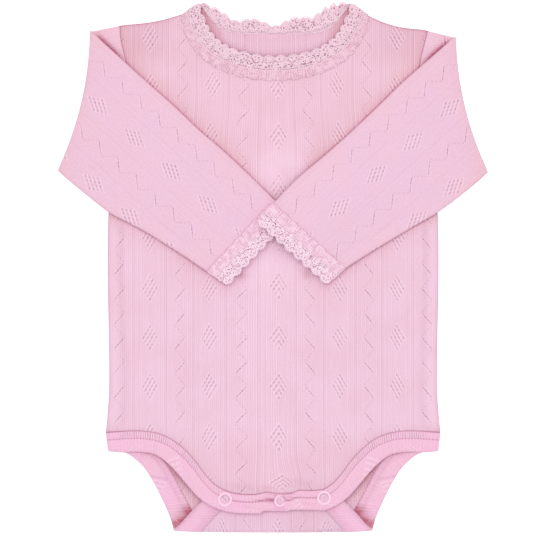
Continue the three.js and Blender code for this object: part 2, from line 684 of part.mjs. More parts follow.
// The ring of a snap, pressed into the hem, with the knit showing through it.
function snapRing() {
  const { radius, hole, height } = SNAP;
  const bevel = height / 3;
  const profile = [
    point(hole, 0), point(radius, 0), point(radius, height - bevel),
    point(radius - bevel, height), point(hole + bevel, height), point(hole, height - bevel),
    point(hole, 0),
  ];
  return lathe(profile);
}

// The socket and stud of a fastened snap, pressed together between hem and tab.
function snapStud() {
  const { studRadius, waist } = SNAP;
  const height = SNAP_ROOM - 2 * GAP;
  const profile = [
    point(0, 0), point(studRadius, 0), point(studRadius, height / 3),
    point(studRadius * waist, height / 2), point(studRadius, 2 * height / 3),
    point(studRadius, height), point(0, height),
  ];
  return lathe(profile);
}

function lathe(profile) {
  const geometry = new THREE.LatheGeometry(profile, SNAP.facets).rotateX(Math.PI / 2);
  geometry.deleteAttribute('normal');
  geometry.deleteAttribute('uv');
  const merged = mergeVertices(geometry);
  return outward(Array.from(merged.attributes.position.array), Array.from(merged.index.array));
}

// The garment.
const COLOURS = { knit: 0xefc6d8, inside: 0xe9bccd, lace: 0xf0c9da, snap: 0xf4cbdc };

function piece(name, geometry, colour, roughness) {
  const material = new THREE.MeshStandardMaterial({ color: colour, roughness, metalness: 0 });
  const mesh = new THREE.Mesh(geometry, material);
  mesh.name = name;
  return mesh;
}

const group = new THREE.Group();
group.add(piece('back_panel', backPanel(), COLOURS.inside, 0.9));
group.add(piece('front_panel', frontPanel(), COLOURS.knit, 0.9));
group.add(piece('front_hem_band', frontHemBand(), COLOURS.knit, 0.9));
group.add(piece('neck_lace_back', neckLaceBack(), COLOURS.lace, 0.85));
group.add(piece('neck_lace_front', neckLaceFront(), COLOURS.lace, 0.85));
for (const [side, sign, table] of [['left', -1, SLEEVE_LEFT], ['right', 1, SLEEVE_RIGHT]]) {
  group.add(piece(`back_leg_band_${side}`, backLegBand(sign), COLOURS.knit, 0.9));
  group.add(piece(`front_leg_band_${side}`, frontLegBand(sign), COLOURS.knit, 0.9));
  group.add(piece(`sleeve_${side}`, sleeve(table), COLOURS.knit, 0.9));
  group.add(piece(`cuff_lace_${side}`, cuffLace(table), COLOURS.lace, 0.85));
}
for (const snap of SNAPS) {
  const ring = piece(`snap_ring_${snap.name}`, snapRing(), COLOURS.snap, 0.45);
  const lift = SNAP.radius * Math.sin(snap.tilt);
  const hemTop = Math.max(...[-1, 0, 1].map((k) => frontFloor(snap.x + k * SNAP.radius, snap.y)));
  ring.position.set(snap.x, snap.y, hemTop + BAND + GAP + lift);
  ring.rotation.y = snap.tilt;
  const stud = piece(`snap_stud_${snap.name}`, snapStud(), COLOURS.snap, 0.45);
  stud.position.set(snap.x, snap.y, 2 * CROTCH_BEND + GAP);
  group.add(ring, stud);
}

export default group;
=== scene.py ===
import math

import bmesh
import bpy
import numpy as np
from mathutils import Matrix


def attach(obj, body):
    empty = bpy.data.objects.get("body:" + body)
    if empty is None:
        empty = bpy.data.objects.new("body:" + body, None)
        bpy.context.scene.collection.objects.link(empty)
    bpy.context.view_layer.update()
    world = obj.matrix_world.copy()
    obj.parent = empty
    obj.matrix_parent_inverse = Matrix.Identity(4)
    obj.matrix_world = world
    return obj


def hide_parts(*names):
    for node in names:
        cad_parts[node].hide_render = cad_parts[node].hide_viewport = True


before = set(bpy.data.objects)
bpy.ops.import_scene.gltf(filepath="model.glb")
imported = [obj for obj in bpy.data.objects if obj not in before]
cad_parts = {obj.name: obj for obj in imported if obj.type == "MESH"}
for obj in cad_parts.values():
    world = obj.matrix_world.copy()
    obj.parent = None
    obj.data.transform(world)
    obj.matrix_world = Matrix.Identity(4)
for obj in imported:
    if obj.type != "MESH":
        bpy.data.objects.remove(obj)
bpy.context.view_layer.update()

# The bodysuit is a flat lay seen from straight above: a pale floor that it lies on, a long lens
# over it, and soft light from the whole studio with a little more from the upper left.
bpy.ops.object.select_all(action="DESELECT")
bpy.ops.mesh.primitive_plane_add(size=8, location=(0, 0, -0.0004))
floor = bpy.context.object
floor.name = "floor"
paper = bpy.data.materials.new("paper")
paper.use_nodes = True
paper_shader = paper.node_tree.nodes["Principled BSDF"]
paper_shader.inputs["Base Color"].default_value = (0.95, 0.95, 0.95, 1)
paper_shader.inputs["Roughness"].default_value = 0.9
paper_shader.inputs["Emission Color"].default_value = (1, 1, 1, 1)
paper_shader.inputs["Emission Strength"].default_value = 0.4
floor.data.materials.append(paper)

picture_width = 0.3752
picture_middle = (-0.00315, -0.00035)
focal = 150
film = 36
camera_height = 0.004 + picture_width * focal / film
bpy.ops.object.camera_add(location=(*picture_middle, camera_height), rotation=(0, 0, 0))
camera = bpy.context.object
camera.data.lens = focal
camera.data.sensor_width = film
bpy.context.scene.camera = camera

world = bpy.data.worlds.new("studio")
world.use_nodes = True
world.node_tree.nodes["Background"].inputs["Color"].default_value = (1.0, 0.985, 0.985, 1)
world.node_tree.nodes["Background"].inputs["Strength"].default_value = 0.73
bpy.context.scene.world = world
bpy.context.scene.view_settings.view_transform = "Standard"
for place, size, power in (((-0.45, 0.55, 2.0), 1.2, 10.2), ((0.8, 0.2, 1.9), 1.6, 6)):
    bpy.ops.object.light_add(type="AREA", location=place)
    lamp = bpy.context.object
    lamp.data.size = size
    lamp.data.energy = power
    aim = np.array(place)
    lamp.rotation_euler = (math.atan2(math.hypot(aim[0], aim[1]), aim[2]), 0, math.atan2(aim[0], -aim[1]))

# Back: one panel of rib knit, cut with a tab that turns up over the crotch fold and runs in under
# the hem. It lies on its outer face, and its inner face shows in the neck and the leg openings.
# All sizes in this script are in millimetres until a mesh is made.
cloth_wall = 1.0
double_wall = 1.6
middle = 0.4
neck_middle = 1.7
shoulder_end = {-1: (-107.2, 169.4), 1: (108.9, 165.9)}
shoulder_sag = {-1: 1.9, 1: 3.0}
neck_point = (58.5, 179.2)
# Armhole and side seams from the shoulder to the leg band: out from the middle, up.
armhole = ((106.6, 158.0), (103.2, 143.6), (101.2, 121.0), (102.6, 96.3), (107.4, 71.8), (114.4, 50.6))
side_seam = ((115.4, 36.0), (115.9, 0.0), (115.1, -50.0), (115.0, -88.0), (117.2, -115.6))
straight_half = 96.0
widest_half = 116.2
back_neckline = (
    (52.0, 182.6), (46.0, 180.8), (40.0, 177.0), (31.0, 172.2), (23.0, 169.8), (15.0, 168.2), (0.0, 166.8),
)
# Back leg opening: out and up of the seam, out and up of the free edge.
back_leg = (
    (117.0, -115.6, 114.6, -128.2), (104.0, -115.6, 105.0, -129.6), (92.4, -120.0, 98.6, -132.8),
    (81.6, -128.6, 90.6, -140.2), (72.6, -141.2, 84.8, -149.0), (65.2, -155.2, 79.2, -159.6),
    (58.6, -167.4, 74.8, -169.0),
)
# Crotch tab: length past the fold line, half width of the panel, half width with its binding.
tab = (
    (-7.0, 53.0, 72.2), (-2.0, 51.0, 70.6), (0.0, 50.2, 70.0), (2.2, 49.4, 69.5), (4.4, 48.6, 68.6),
    (7.2, 46.0, 65.6), (12.0, 42.0, 61.6), (18.6, 36.2, 55.8), (25.3, 29.4, 49.4), (34.5, 22.0, 41.6),
)
crotch_bend = 1.9
crotch_arc = 4.4
# Lines of the front that lies on it, and so shades it: its neckline, the lace on that with its sewn
# edge out and up and then its free edge, and its leg openings, with the seam of the leg band out and
# up and then its free edge.
front_neckline = (
    (57.5, 168.0), (54.0, 158.5), (48.5, 151.0), (40.5, 145.5), (30.0, 141.5), (16.0, 139.0), (0.0, 138.3),
)
front_lace = (
    (65.4, 177.2, 54.4, 185.2), (62.6, 164.2, 50.2, 172.2), (55.6, 152.0, 45.6, 162.6),
    (45.6, 143.0, 37.4, 156.0), (32.0, 136.4, 27.8, 151.4), (16.0, 132.4, 14.0, 148.4),
    (0.0, 131.2, 0.0, 147.2),
)
front_leg = (
    (117.2, -115.6, 115.6, -128.6), (107.5, -114.9, 106.6, -129.5), (99.0, -114.4, 98.0, -129.1),
    (89.4, -114.6, 89.4, -129.6), (80.0, -116.4, 82.0, -131.4), (70.5, -120.6, 74.4, -136.6),
    (61.7, -127.5, 67.2, -143.8), (54.0, -135.7, 60.3, -152.0), (47.7, -144.2, 52.8, -160.2),
    (41.2, -151.2, 44.5, -166.2), (35.2, -155.0, 36.0, -169.8),
)


def smooth(value):
    share = np.clip(value, 0.0, 1.0)
    return share * share * (3.0 - 2.0 * share)


def between(before, start, end, after, step):
    """A smooth way from start to end that heeds the places before and after them."""
    leave = (end - before) / 2
    arrive = (after - start) / 2
    cubic = (2 * start - 2 * end + leave + arrive) * step ** 3
    return cubic + (3 * end - 3 * start - 2 * leave - arrive) * step ** 2 + leave * step + start


def curve(points, share):
    """Points on the smooth curve through a row of points, at shares of its way."""
    row = np.asarray(points, float)
    place = np.clip(share, 0.0, 1.0) * (len(row) - 1)
    first = np.clip(place.astype(int), 0, len(row) - 2)
    before, after = row[np.maximum(first - 1, 0)], row[np.minimum(first + 2, len(row) - 1)]
    return between(before, row[first], row[first + 1], after, (place - first)[..., None])


def on_side(sign, rows, first=0):
    """Places on one side of the body from two columns of a table: out from the middle, up."""
    return [(middle + sign * row[first], row[first + 1]) for row in rows]


def side_place(sign, up):
    """Where the side seam and armhole of one side lie at a height."""
    share = np.linspace(0, 1, 60)
    arm = curve([shoulder_end[sign]] + on_side(sign, armhole), share)
    seam = curve(on_side(sign, armhole[-1:] + side_seam), share)
    line = np.concatenate([arm, seam[1:]])[::-1]
    return np.interp(up, line[:, 1], line[:, 0])


def lean(column, up):
    """A column of the knit runs straight up, and only beside the armholes leans in."""
    out = np.abs(column - middle)
    sign = np.sign(column - middle)
    side = np.where(sign < 0, middle - side_place(-1, up), side_place(1, up) - middle)
    inside = straight_half + (out - straight_half) * (side - straight_half) / (widest_half - straight_half)
    return np.where(out > straight_half, middle + sign * inside, column)


def shoulder_line(sign, neck):
    """The shoulder from its outer end towards the neck, sagging a little between them."""
    share = np.linspace(0, 1, 25)[:-1]
    end = np.array(shoulder_end[sign])
    line = end + (np.array(neck) - end) * share[:, None]
    line[:, 1] -= shoulder_sag[sign] * np.sin(np.pi * share) ** 1.5
    return line


def top_line(neckline):
    """Shoulders and neckline, as x and y from left to right."""
    right = curve([neck_point, *neckline], np.linspace(0, 1, 80))[::-1]
    left = right[::-1] * (-1, 1)
    neck = np.concatenate([left, right[1:]]) + (neck_middle, 0)
    line = np.concatenate([shoulder_line(-1, neck[0]), neck, shoulder_line(1, neck[-1])[::-1]])
    return np.maximum.accumulate(line[:, 0] + np.arange(len(line)) * 1e-7), line[:, 1]


def mirrored(rows):
    """A line given from the side to the middle, as x and y from left to right."""
    half = np.asarray(rows, float)
    whole = np.concatenate([half * (-1, 1), half[::-1]])
    return whole[:, 0] + middle, whole[:, 1]


def lace_edge(first):
    """The sewn edge or, with 2, the free edge of the front's neck lace, from left to right."""
    right = [(row[first], row[first + 1]) for row in front_lace]
    line = [(-out, up) for out, up in right] + right[-2::-1]
    return [(out + neck_middle, up) for out, up in line]


def distance(x, y, line):
    """How far places are from a line given as a row of points."""
    line = np.asarray(line, float)
    nearest = np.full(np.shape(x), 1e9)
    for (ax, ay), (bx, by) in zip(line[:-1], line[1:]):
        run_x, run_y = bx - ax, by - ay
        share = np.clip(((x - ax) * run_x + (y - ay) * run_y) / (run_x ** 2 + run_y ** 2), 0, 1)
        nearest = np.minimum(nearest, np.hypot(x - ax - share * run_x, y - ay - share * run_y))
    return nearest


def contact(away, line, soft, reach):
    """Shade beside an edge that lies on the cloth: a thin dark line, then a soft fall."""
    return line * np.exp(-(away / 0.9) ** 2) + soft * np.exp(-away / reach)


def panel_grid(bottom, top, columns, rows):
    """Places over a body panel, each row of them from left to right."""
    column = middle + widest_half * np.linspace(-1, 1, columns + 1)
    arm_up = np.where(column < middle, shoulder_end[-1][1], shoulder_end[1][1])
    low = np.interp(column, *bottom)
    high = np.interp(lean(column, arm_up), *top)
    up = low + (high - low) * np.linspace(0, 1, rows + 1)[:, None]
    return lean(np.broadcast_to(column, up.shape), up), up


def fold_line(x):
    out = np.abs(x - middle) / 70
    return -185.85 + 0.5 * out ** 2 + 1.0 * out ** 8 + crotch_bend


def folded(x, y, height):
    """The unfolded back at a height in the cloth, turned up over the crotch fold."""
    line = fold_line(x)
    past = line - y
    radius = crotch_bend - height
    turn = np.clip(past / crotch_arc, 0, 1) * np.pi
    bent_y = line - radius * np.sin(turn)
    up = crotch_bend - radius * np.cos(turn)
    far = past > crotch_arc
    y = np.where(past < 0, y, np.where(far, line + past - crotch_arc, bent_y))
    return np.stack([x, y, np.where(past < 0, height, up)], -1)


# The pointelle knit: columns of eyelet diamonds and of zigzags take turns, with paired deeper
# grooves between them. Places of the columns and rows of diamonds on the body, then one repeat.
column_places = (-107.5, -85.8, -64.8, -44.5, -22.0, 4.5, 26.3, 47.3, 67.6, 87.2, 108.2)
row_places = (-153.3, -118.7, -83.0, -49.0, -14.7, 21.0, 56.4, 91.7, 126.3)
column_pitch = 20.9
repeat_across = 42.7
repeat_up = 34.6
ribs_a_repeat = 30
diamond_side = 2.92
diamond_lean = (0.5, 0.87)
zigzag_half = 3.85
zigzag_phase = 0.49
# A place across the repeat, so many repeats out, that has neither a diamond nor a zigzag.
plain_column = 20.25


def knit_place(x, y):
    """Where a place of the body lies in the knit's repeat: across and up, in millimetres."""
    drawn_in = np.sin(np.pi * np.clip(np.abs(x) / 88.0, 0, 1)) * smooth((y - 80) / 45)
    x, y = x + np.sign(x) * 2.4 * drawn_in, y - 1.8 * drawn_in
    column = np.arange(len(column_places)) / 2 - 2.5
    row = np.arange(len(row_places)) - 4.0
    ends = (column_places[0] - 10 * column_pitch, *column_places, column_places[-1] + 10 * column_pitch)
    across = np.interp(x, ends, (column[0] - 5, *column, column[-1] + 5))
    ends = (row_places[0] - 10 * repeat_up, *row_places, row_places[-1] + 10 * repeat_up)
    up = np.interp(y, ends, (row[0] - 10, *row, row[-1] + 10))
    return np.stack([across * repeat_across, up * repeat_up], -1)


def openwork(knit):
    """How strongly the eyelets and the grooves sink in at places of the knit, from 0 to 1."""
    across, up = np.abs(knit[..., 0]), knit[..., 1]
    diamond = (across + repeat_across / 2) % repeat_across - repeat_across / 2
    zigzag = across % repeat_across - repeat_across / 2
    rise = (up + repeat_up / 2) % repeat_up - repeat_up / 2
    lean_x, lean_y = (2 * diamond_side * part for part in diamond_lean)
    one = rise / lean_y - diamond / lean_x
    two = rise / lean_y + diamond / lean_x
    near = np.hypot((one - np.floor(one) - 0.5) / 0.42, (two - np.floor(two) - 0.5) / 0.22)
    eyelets = (1 - smooth((near - 0.5) / 0.7)) * (np.maximum(abs(one), abs(two)) < 2)
    turn = up / (repeat_up / 2) + zigzag_phase
    turn = turn - np.floor(turn)
    off = zigzag - zigzag_half * (abs(4 * turn - 2) - 1)
    stroke = np.exp(-(off / 0.6) ** 2) * np.where(turn < 0.5, 1.0, 0.45)
    beside = abs(diamond)
    groove = np.exp(-((beside - 11.8) / 0.6) ** 2) + 0.8 * np.exp(-((beside - 10.2) / 0.6) ** 2)
    return np.maximum(eyelets, stroke), groove


class Shade:
    """A value or colour on its way through a material's nodes, open to sums."""

    def __init__(self, tree, socket=None):
        self.tree = tree
        self.socket = socket

    def node(self, kind, settings=None, inputs=None, output=0):
        node = self.tree.nodes.new("ShaderNode" + kind)
        for name, value in (settings or {}).items():
            setattr(node, name, value)
        for name, value in (inputs or {}).items():
            if isinstance(value, Shade):
                self.tree.links.new(value.socket, node.inputs[name])
            else:
                node.inputs[name].default_value = value
        return Shade(self.tree, node.outputs[output])

    def knit_map(self):
        """Both coordinates of the piece's Knit map."""
        place = self.node("UVMap", {"uv_map": "Knit"})
        return [self.node("SeparateXYZ", inputs={0: place}, output=one) for one in (0, 1)]

    def attribute(self, name):
        return self.node("Attribute", {"attribute_name": name}, output=2)

    def noise(self, place, scale, detail=2.0):
        return self.node("TexNoise", inputs={"Vector": place, "Scale": scale, "Detail": detail})

    def maths(self, operation, *others):
        return self.node("Math", {"operation": operation}, dict(enumerate((self, *others))))

    def __add__(self, other):
        return self.maths("ADD", other)

    def __sub__(self, other):
        return self.maths("SUBTRACT", other)

    def __rsub__(self, other):
        return self.maths("MULTIPLY_ADD", -1.0, other)

    def __mul__(self, other):
        return self.maths("MULTIPLY", other)

    def __truediv__(self, other):
        return self.maths("DIVIDE", other)

    def __abs__(self):
        return self.maths("ABSOLUTE")

    def wrap(self, period):
        return self.maths("FLOORED_MODULO", period)

    def larger(self, other):
        return self.maths("MAXIMUM", other)

    def below(self, limit):
        return self.maths("LESS_THAN", limit)

    def fade(self, low, high):
        """0 at low, 1 at high, smooth between."""
        ends = {"Value": self, "From Min": low, "From Max": high}
        return self.node("MapRange", {"interpolation_type": "SMOOTHSTEP"}, ends)

    def bell(self, width):
        """1 at zero, gone at about twice the width."""
        share = self / width
        return (share * share * -1.0).maths("EXPONENT")

    def clamp(self):
        return self.node("Clamp", inputs={0: self})

    def mix(self, start, end):
        """Two colours mixed by this value."""
        return self.node("Mix", {"data_type": "RGBA"}, {0: self, 6: start, 7: end}, 2)

    __radd__ = __add__
    __rmul__ = __mul__


def tone(red, green, blue):
    """A light colour as it looks on a screen, of 255, for a shader."""
    return (*(((part / 255 + 0.055) / 1.055) ** 2.4 for part in (red, green, blue)), 1.0)


def new_finish(name, roughness, sheen):
    """An empty matte textile finish, and the start of its sums."""
    material = bpy.data.materials.new(name)
    material.use_nodes = True
    shader = material.node_tree.nodes["Principled BSDF"]
    shader.inputs["Roughness"].default_value = roughness
    shader.inputs["Specular IOR Level"].default_value = 0.25
    shader.inputs["Sheen Weight"].default_value = sheen
    shader.inputs["Sheen Roughness"].default_value = 0.6
    return material, shader, Shade(material.node_tree)


def surface(material, shader, colour, height):
    """Colour and relief worked out for a finish."""
    relief = colour.node("Bump", inputs={"Height": height, "Distance": 0.001, "Strength": 1.0})
    material.node_tree.links.new(colour.socket, shader.inputs["Base Color"])
    material.node_tree.links.new(relief.socket, shader.inputs["Normal"])
    return material


def knit_finish(name, light, shadow, warm, ribbing=1.0, open_share=1.0, banded=False):
    """Fine pink cotton rib with its eyelets, grooves and ribs, on the Knit map of a piece, with painted
    shade and painted highlights on its relief.
    """
    material, shader, start = new_finish(name, 0.92, 0.25)
    across, up = start.knit_map()
    across = abs(across)
    diamond = (across + repeat_across / 2).wrap(repeat_across) - repeat_across / 2
    zigzag = across.wrap(repeat_across) - repeat_across / 2
    rise = (up + repeat_up / 2).wrap(repeat_up) - repeat_up / 2
    lean_x, lean_y = (2 * diamond_side * part for part in diamond_lean)
    one = rise / lean_y - diamond / lean_x
    two = rise / lean_y + diamond / lean_x
    near_one = (one.wrap(1.0) - 0.5) / 0.40
    near_two = (two.wrap(1.0) - 0.5) / 0.20
    near = (near_one * near_one + near_two * near_two).maths("SQRT")
    eyelets = (1.0 - near.fade(0.5, 1.15)) * abs(one).larger(abs(two)).below(2.0)
    turn = (up / (repeat_up / 2) + zigzag_phase).wrap(1.0)
    off = zigzag - (abs(turn * 4.0 - 2.0) - 1.0) * zigzag_half
    dots = abs((turn * 8.0).wrap(1.0) - 0.5)
    body = start.node("TexCoord", output=3)
    fuzz = start.noise(body, 900.0)
    uneven = start.noise(body, 260.0, 1.0).fade(0.35, 0.65)
    whole_stroke = turn.below(0.5) * (1.0 - abs(turn * 4.0 - 1.0).fade(0.66, 1.0))
    dark_stroke = off.bell(0.42) * whole_stroke * (1.0 - dots.fade(0.2, 0.5) * 0.5)
    dotted_stroke = off.bell(0.45) * (1.0 - turn.below(0.5)) * (1.0 - dots.fade(0.12, 0.32)) * 0.4
    holes = (eyelets * 0.72).larger(dark_stroke * 0.9).larger(dotted_stroke)
    holes = holes * (uneven * 0.6 + 0.55) * open_share
    beside_stroke = (off - 0.95).bell(0.4) + (off + 0.95).bell(0.4)
    inside = abs(one).larger(abs(two)).below(2.15)
    lit_stroke = beside_stroke * whole_stroke * 0.55 + near.fade(1.1, 1.9) * inside * 0.55
    beside = abs(diamond)
    groove = (beside - 11.8).bell(0.28) + (beside - 10.3).bell(0.28) * 0.5 + (beside - 7.4).bell(0.3) * 0.4
    ridge = (beside - 12.5).bell(0.36) + (beside - 9.6).bell(0.34) * 0.6 + (beside - 6.6).bell(0.3) * 0.4
    ribs = (across * (2 * math.pi * ribs_a_repeat / repeat_across)).maths("COSINE")
    streak_place = start.node("CombineXYZ", inputs={0: across * 0.9, 1: up * 0.022})
    streaks = start.noise(streak_place, 1.0).fade(0.3, 0.7)
    patches = start.noise(body, 42.0)
    # The piece's painted warmth and its painted shade with dark seam lines. Painted warmth warms the
    # colour, mixed with random patches, and turns painted shade rosy.
    shaded = start.attribute("PaintedWarmthAndMesh")
    painted_shade_and_seam_map = start.attribute("PaintedShadeAndSeams")
    colour = (patches.fade(0.36, 0.66) * 0.35 + shaded).mix(light, warm)
    shadow = shaded.clamp().mix(shadow, rose_shadow)
    # Darker in the eyelets and strokes, with painted shade in the grooves and rib hollows and wherever the
    # piece's map asks for it.
    rib_shade = (1.0 - ribs) * 0.06 * (streaks + 0.5) + (1.0 - streaks) * 0.08
    speckle = (fuzz - 0.5) * (0.14 + (1.0 - ribbing) * 0.22)
    depth = holes * 0.55 + (groove * 0.15 + rib_shade) * ribbing + speckle + painted_shade_and_seam_map
    colour = depth.clamp().mix(colour, shadow)
    # Painted highlights on the ridges, the rib crests and beside the strokes.
    rib_lit = (ribs + streaks * 1.4 - 1.3).fade(0.0, 1.1) * 0.4
    colour = (((ridge * 0.5 + rib_lit) * ribbing + lit_stroke).clamp() * 0.6).mix(colour, highlight_pink)
    ribbed = (ribs * 0.08 + streaks * 0.05 + ridge * 0.04 - groove * 0.09) * ribbing
    height = ribbed + lit_stroke * 0.08 - holes * 0.28 + fuzz * 0.06
    if banded:
        far = start.attribute("Across")
        along = start.attribute("Along")
        short_ribs = (along * (2 * math.pi / band_rib)).maths("COSINE")
        dashes = (along * (2 * math.pi / 2.1)).maths("SINE").fade(-0.9, 0.4)
        clear = start.attribute("Ribbed")
        # Dark lines along the two rows of cover stitch; between them, painted shade in the short ribs'
        # hollows and painted highlights on their crests.
        stitched = far.fade(0.4, 1.0) * (1.0 - far.fade(4.4, 5.1)) * (clear * (0.5 + uneven * 0.7))
        rows = far.bell(0.5) * 0.62 + (far - 5.3).bell(0.42) * (dashes * 0.55 + 0.08)
        dark = rows + (1.0 - short_ribs) * (stitched * 0.13 + 0.012)
        colour = dark.clamp().mix(colour, shadow)
        colour = (short_ribs.fade(0.0, 1.0) * stitched * 0.6).mix(colour, highlight_pink)
        height = height + short_ribs * stitched * 0.1
    return surface(material, shader, colour, height)


def cloth_piece(name, outer, inner, knit, warm, step, closed=False, painted_shade_and_seams=None, more=None):
    """A closed cloth shell: a fine outer face, an inner one with every step-th place, and a rim."""
    rows, columns = outer.shape[:2]
    inner_rows = np.arange(0, rows, step)
    inner_columns = np.arange(0, columns, step)
    coarse = np.ix_(inner_rows, inner_columns)
    fine_index = np.arange(rows * columns).reshape(rows, columns)
    coarse_index = rows * columns + np.arange(len(inner_rows) * len(inner_columns))
    coarse_index = coarse_index.reshape(len(inner_rows), len(inner_columns))
    if closed:
        fine_index = np.hstack([fine_index, fine_index[:, :1]])
        coarse_index = np.hstack([coarse_index, coarse_index[:, :1]])
    faces = []
    for index, flip in ((fine_index, False), (coarse_index, True)):
        quads = np.stack([index[:-1, :-1], index[:-1, 1:], index[1:, 1:], index[1:, :-1]], -1)
        quads = quads.reshape(-1, 4)
        faces += (quads[:, ::-1] if flip else quads).tolist()
    edges = [(fine_index[0], coarse_index[0]), (fine_index[-1, ::-1], coarse_index[-1, ::-1])]
    if not closed:
        edges += [(fine_index[:, -1], coarse_index[:, -1]), (fine_index[::-1, 0], coarse_index[::-1, 0])]
    for fine, far in edges:
        for k in range(len(far) - 1):
            faces.append([*fine[k * step:(k + 1) * step + 1][::-1].tolist(), int(far[k]), int(far[k + 1])])
    places = np.concatenate([outer.reshape(-1, 3), inner[coarse].reshape(-1, 3)]) / 1000
    knit = np.concatenate([knit.reshape(-1, 2), knit[coarse].reshape(-1, 2)])
    # Painted warmth (on laces, where the mesh is) and painted shade with dark seam lines go with the mesh
    # as point attributes.
    painted_shade_and_seams = 0.0 * warm if painted_shade_and_seams is None else painted_shade_and_seams
    values = {"PaintedWarmthAndMesh": warm, "PaintedShadeAndSeams": painted_shade_and_seams, **(more or {})}
    for key, value in values.items():
        values[key] = np.concatenate([value.reshape(-1), value[coarse].reshape(-1)])
    return new_piece(name, places, faces, knit, values)


def new_piece(name, places, faces, knit=None, values=None):
    """A mesh piece with its faces outwards, smooth shaded, with its maps."""
    mesh = bpy.data.meshes.new(name)
    mesh.from_pydata(places.tolist(), [], faces)
    if knit is not None:
        corner = np.empty(len(mesh.loops), int)
        mesh.loops.foreach_get("vertex_index", corner)
        layer = mesh.uv_layers.new(name="Knit")
        layer.data.foreach_set("uv", np.asarray(knit, np.float32)[corner].ravel())
    for key, value in (values or {}).items():
        attribute = mesh.attributes.new(key, "FLOAT", "POINT")
        attribute.data.foreach_set("value", np.asarray(value, np.float32).ravel())
    work = bmesh.new()
    work.from_mesh(mesh)
    if work.calc_volume(signed=True) < 0:
        bmesh.ops.reverse_faces(work, faces=work.faces)
    work.to_mesh(mesh)
    work.free()
    mesh.polygons.foreach_set("use_smooth", [True] * len(mesh.polygons))
    piece = bpy.data.objects.new(name, mesh)
    bpy.context.scene.collection.objects.link(piece)
    return piece


# Colours of the knit: its own light pink, two colours of painted shade, a warmer pink for painted warmth
# and random patches, and a paler pink for painted highlights.
light_pink = tone(249, 211, 233)
shadow_pink = tone(172, 98, 132)
rose_shadow = tone(190, 102, 126)
warm_pink = tone(243, 200, 214)
highlight_pink = tone(253, 226, 241)
knit_outside = knit_finish("rib knit", light_pink, shadow_pink, warm_pink)

back_seam = [(out, up) for out, up, _, _ in back_leg]
tab_seam = [(half, fold_line(middle + half) - past) for past, half, _ in tab]
back_bottom = mirrored(back_seam + tab_seam + [(0.0, fold_line(middle) - tab[-1][0])])
x, y = panel_grid(back_bottom, top_line(back_neckline), 168, 240)
past_fold = y < fold_line(x)
plain_over = 148.1
tab_spread = 1.25
knit = knit_place(np.where(past_fold, x * tab_spread, x), np.minimum(y, plain_over))
eyelets, groove = openwork(knit)
sunk = 0.22 * eyelets + 0.10 * groove
outer = folded(x, y, sunk)
inner = folded(x, y, cloth_wall - 0.5 * sunk)
from_neck = np.interp(x, *top_line(back_neckline)) - y
from_side = np.minimum(side_place(1, y) - x, x - side_place(-1, y))
sunken = distance(x, y, lace_edge(2))
leg_gap = np.where(x < 0, *(distance(x, y, on_side(sign, front_leg, 2)) for sign in (-1, 1)))
# Painted shade on the back: along its side edges, in the neck opening under the free edge of the front's
# lace (most on the left), in the leg openings under the front's leg bands, inside the neck corners and a
# little over the tab; taped adds a dark line about 8 mm below the middle of the back neckline. Painted
# warmth turns this shade rosy in the neck corners and the leg openings.
left_of_neck = 1 + 0.7 * smooth((-8 - x) / 25)
painted_shade_and_seams = 0.22 * np.exp(-from_side / 0.7)
painted_shade_and_seams += (y > 100) * left_of_neck * (0.16 * np.exp(-sunken / 5.0) + 0.14 * np.exp(-(sunken / 1.5) ** 2))
below_front = contact(leg_gap, 0.3, 0.14, 5.0) + 0.3 * smooth((y + 162) / 20) * (leg_gap < 8)
painted_shade_and_seams += (y < -100) * ~past_fold * below_front
taped = smooth((38 - np.abs(x - 2)) / 8) * 0.2 * np.exp(-((from_neck - 7.8) / 1.4) ** 2)
corner = smooth((abs(x - neck_middle) - 31) / 17) * (y > 140)
warm = 0.2 + 0.15 * smooth((y - 150) / 20) + 0.8 * corner + (y < -100) * np.where(past_fold, -0.2, 0.45)
painted_shade_and_seams = np.clip(painted_shade_and_seams + taped + 0.24 * corner + 0.05 * past_fold, 0, 0.85)
back = cloth_piece("back", outer, inner, knit, np.clip(warm, 0, 1), 2, painted_shade_and_seams=painted_shade_and_seams)
back.data.materials.append(knit_outside)
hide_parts("back_panel")
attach(back, "root")
back_trims = []

# Front: the other panel, a little higher than the back, with its lower neckline and its leg
# openings. It stands up between its side seams and rises to the hem over the fastened snaps.
hem_seam_line = (
    (-34.8, -155.0), (-28.0, -157.4), (-21.0, -158.4), (-12.0, -158.5), (-4.0, -157.0), (3.0, -157.8),
    (9.0, -158.2), (14.0, -157.4), (18.5, -155.6), (28.0, -155.7), (35.6, -155.0),
)
hem_free_line = (
    (-35.6, -169.8), (-28.0, -171.4), (-20.0, -171.9), (-12.0, -172.0), (-8.6, -172.0), (-6.2, -170.3),
    (3.0, -170.1), (10.0, -170.3), (14.0, -169.4), (24.0, -169.4), (36.4, -169.8),
)
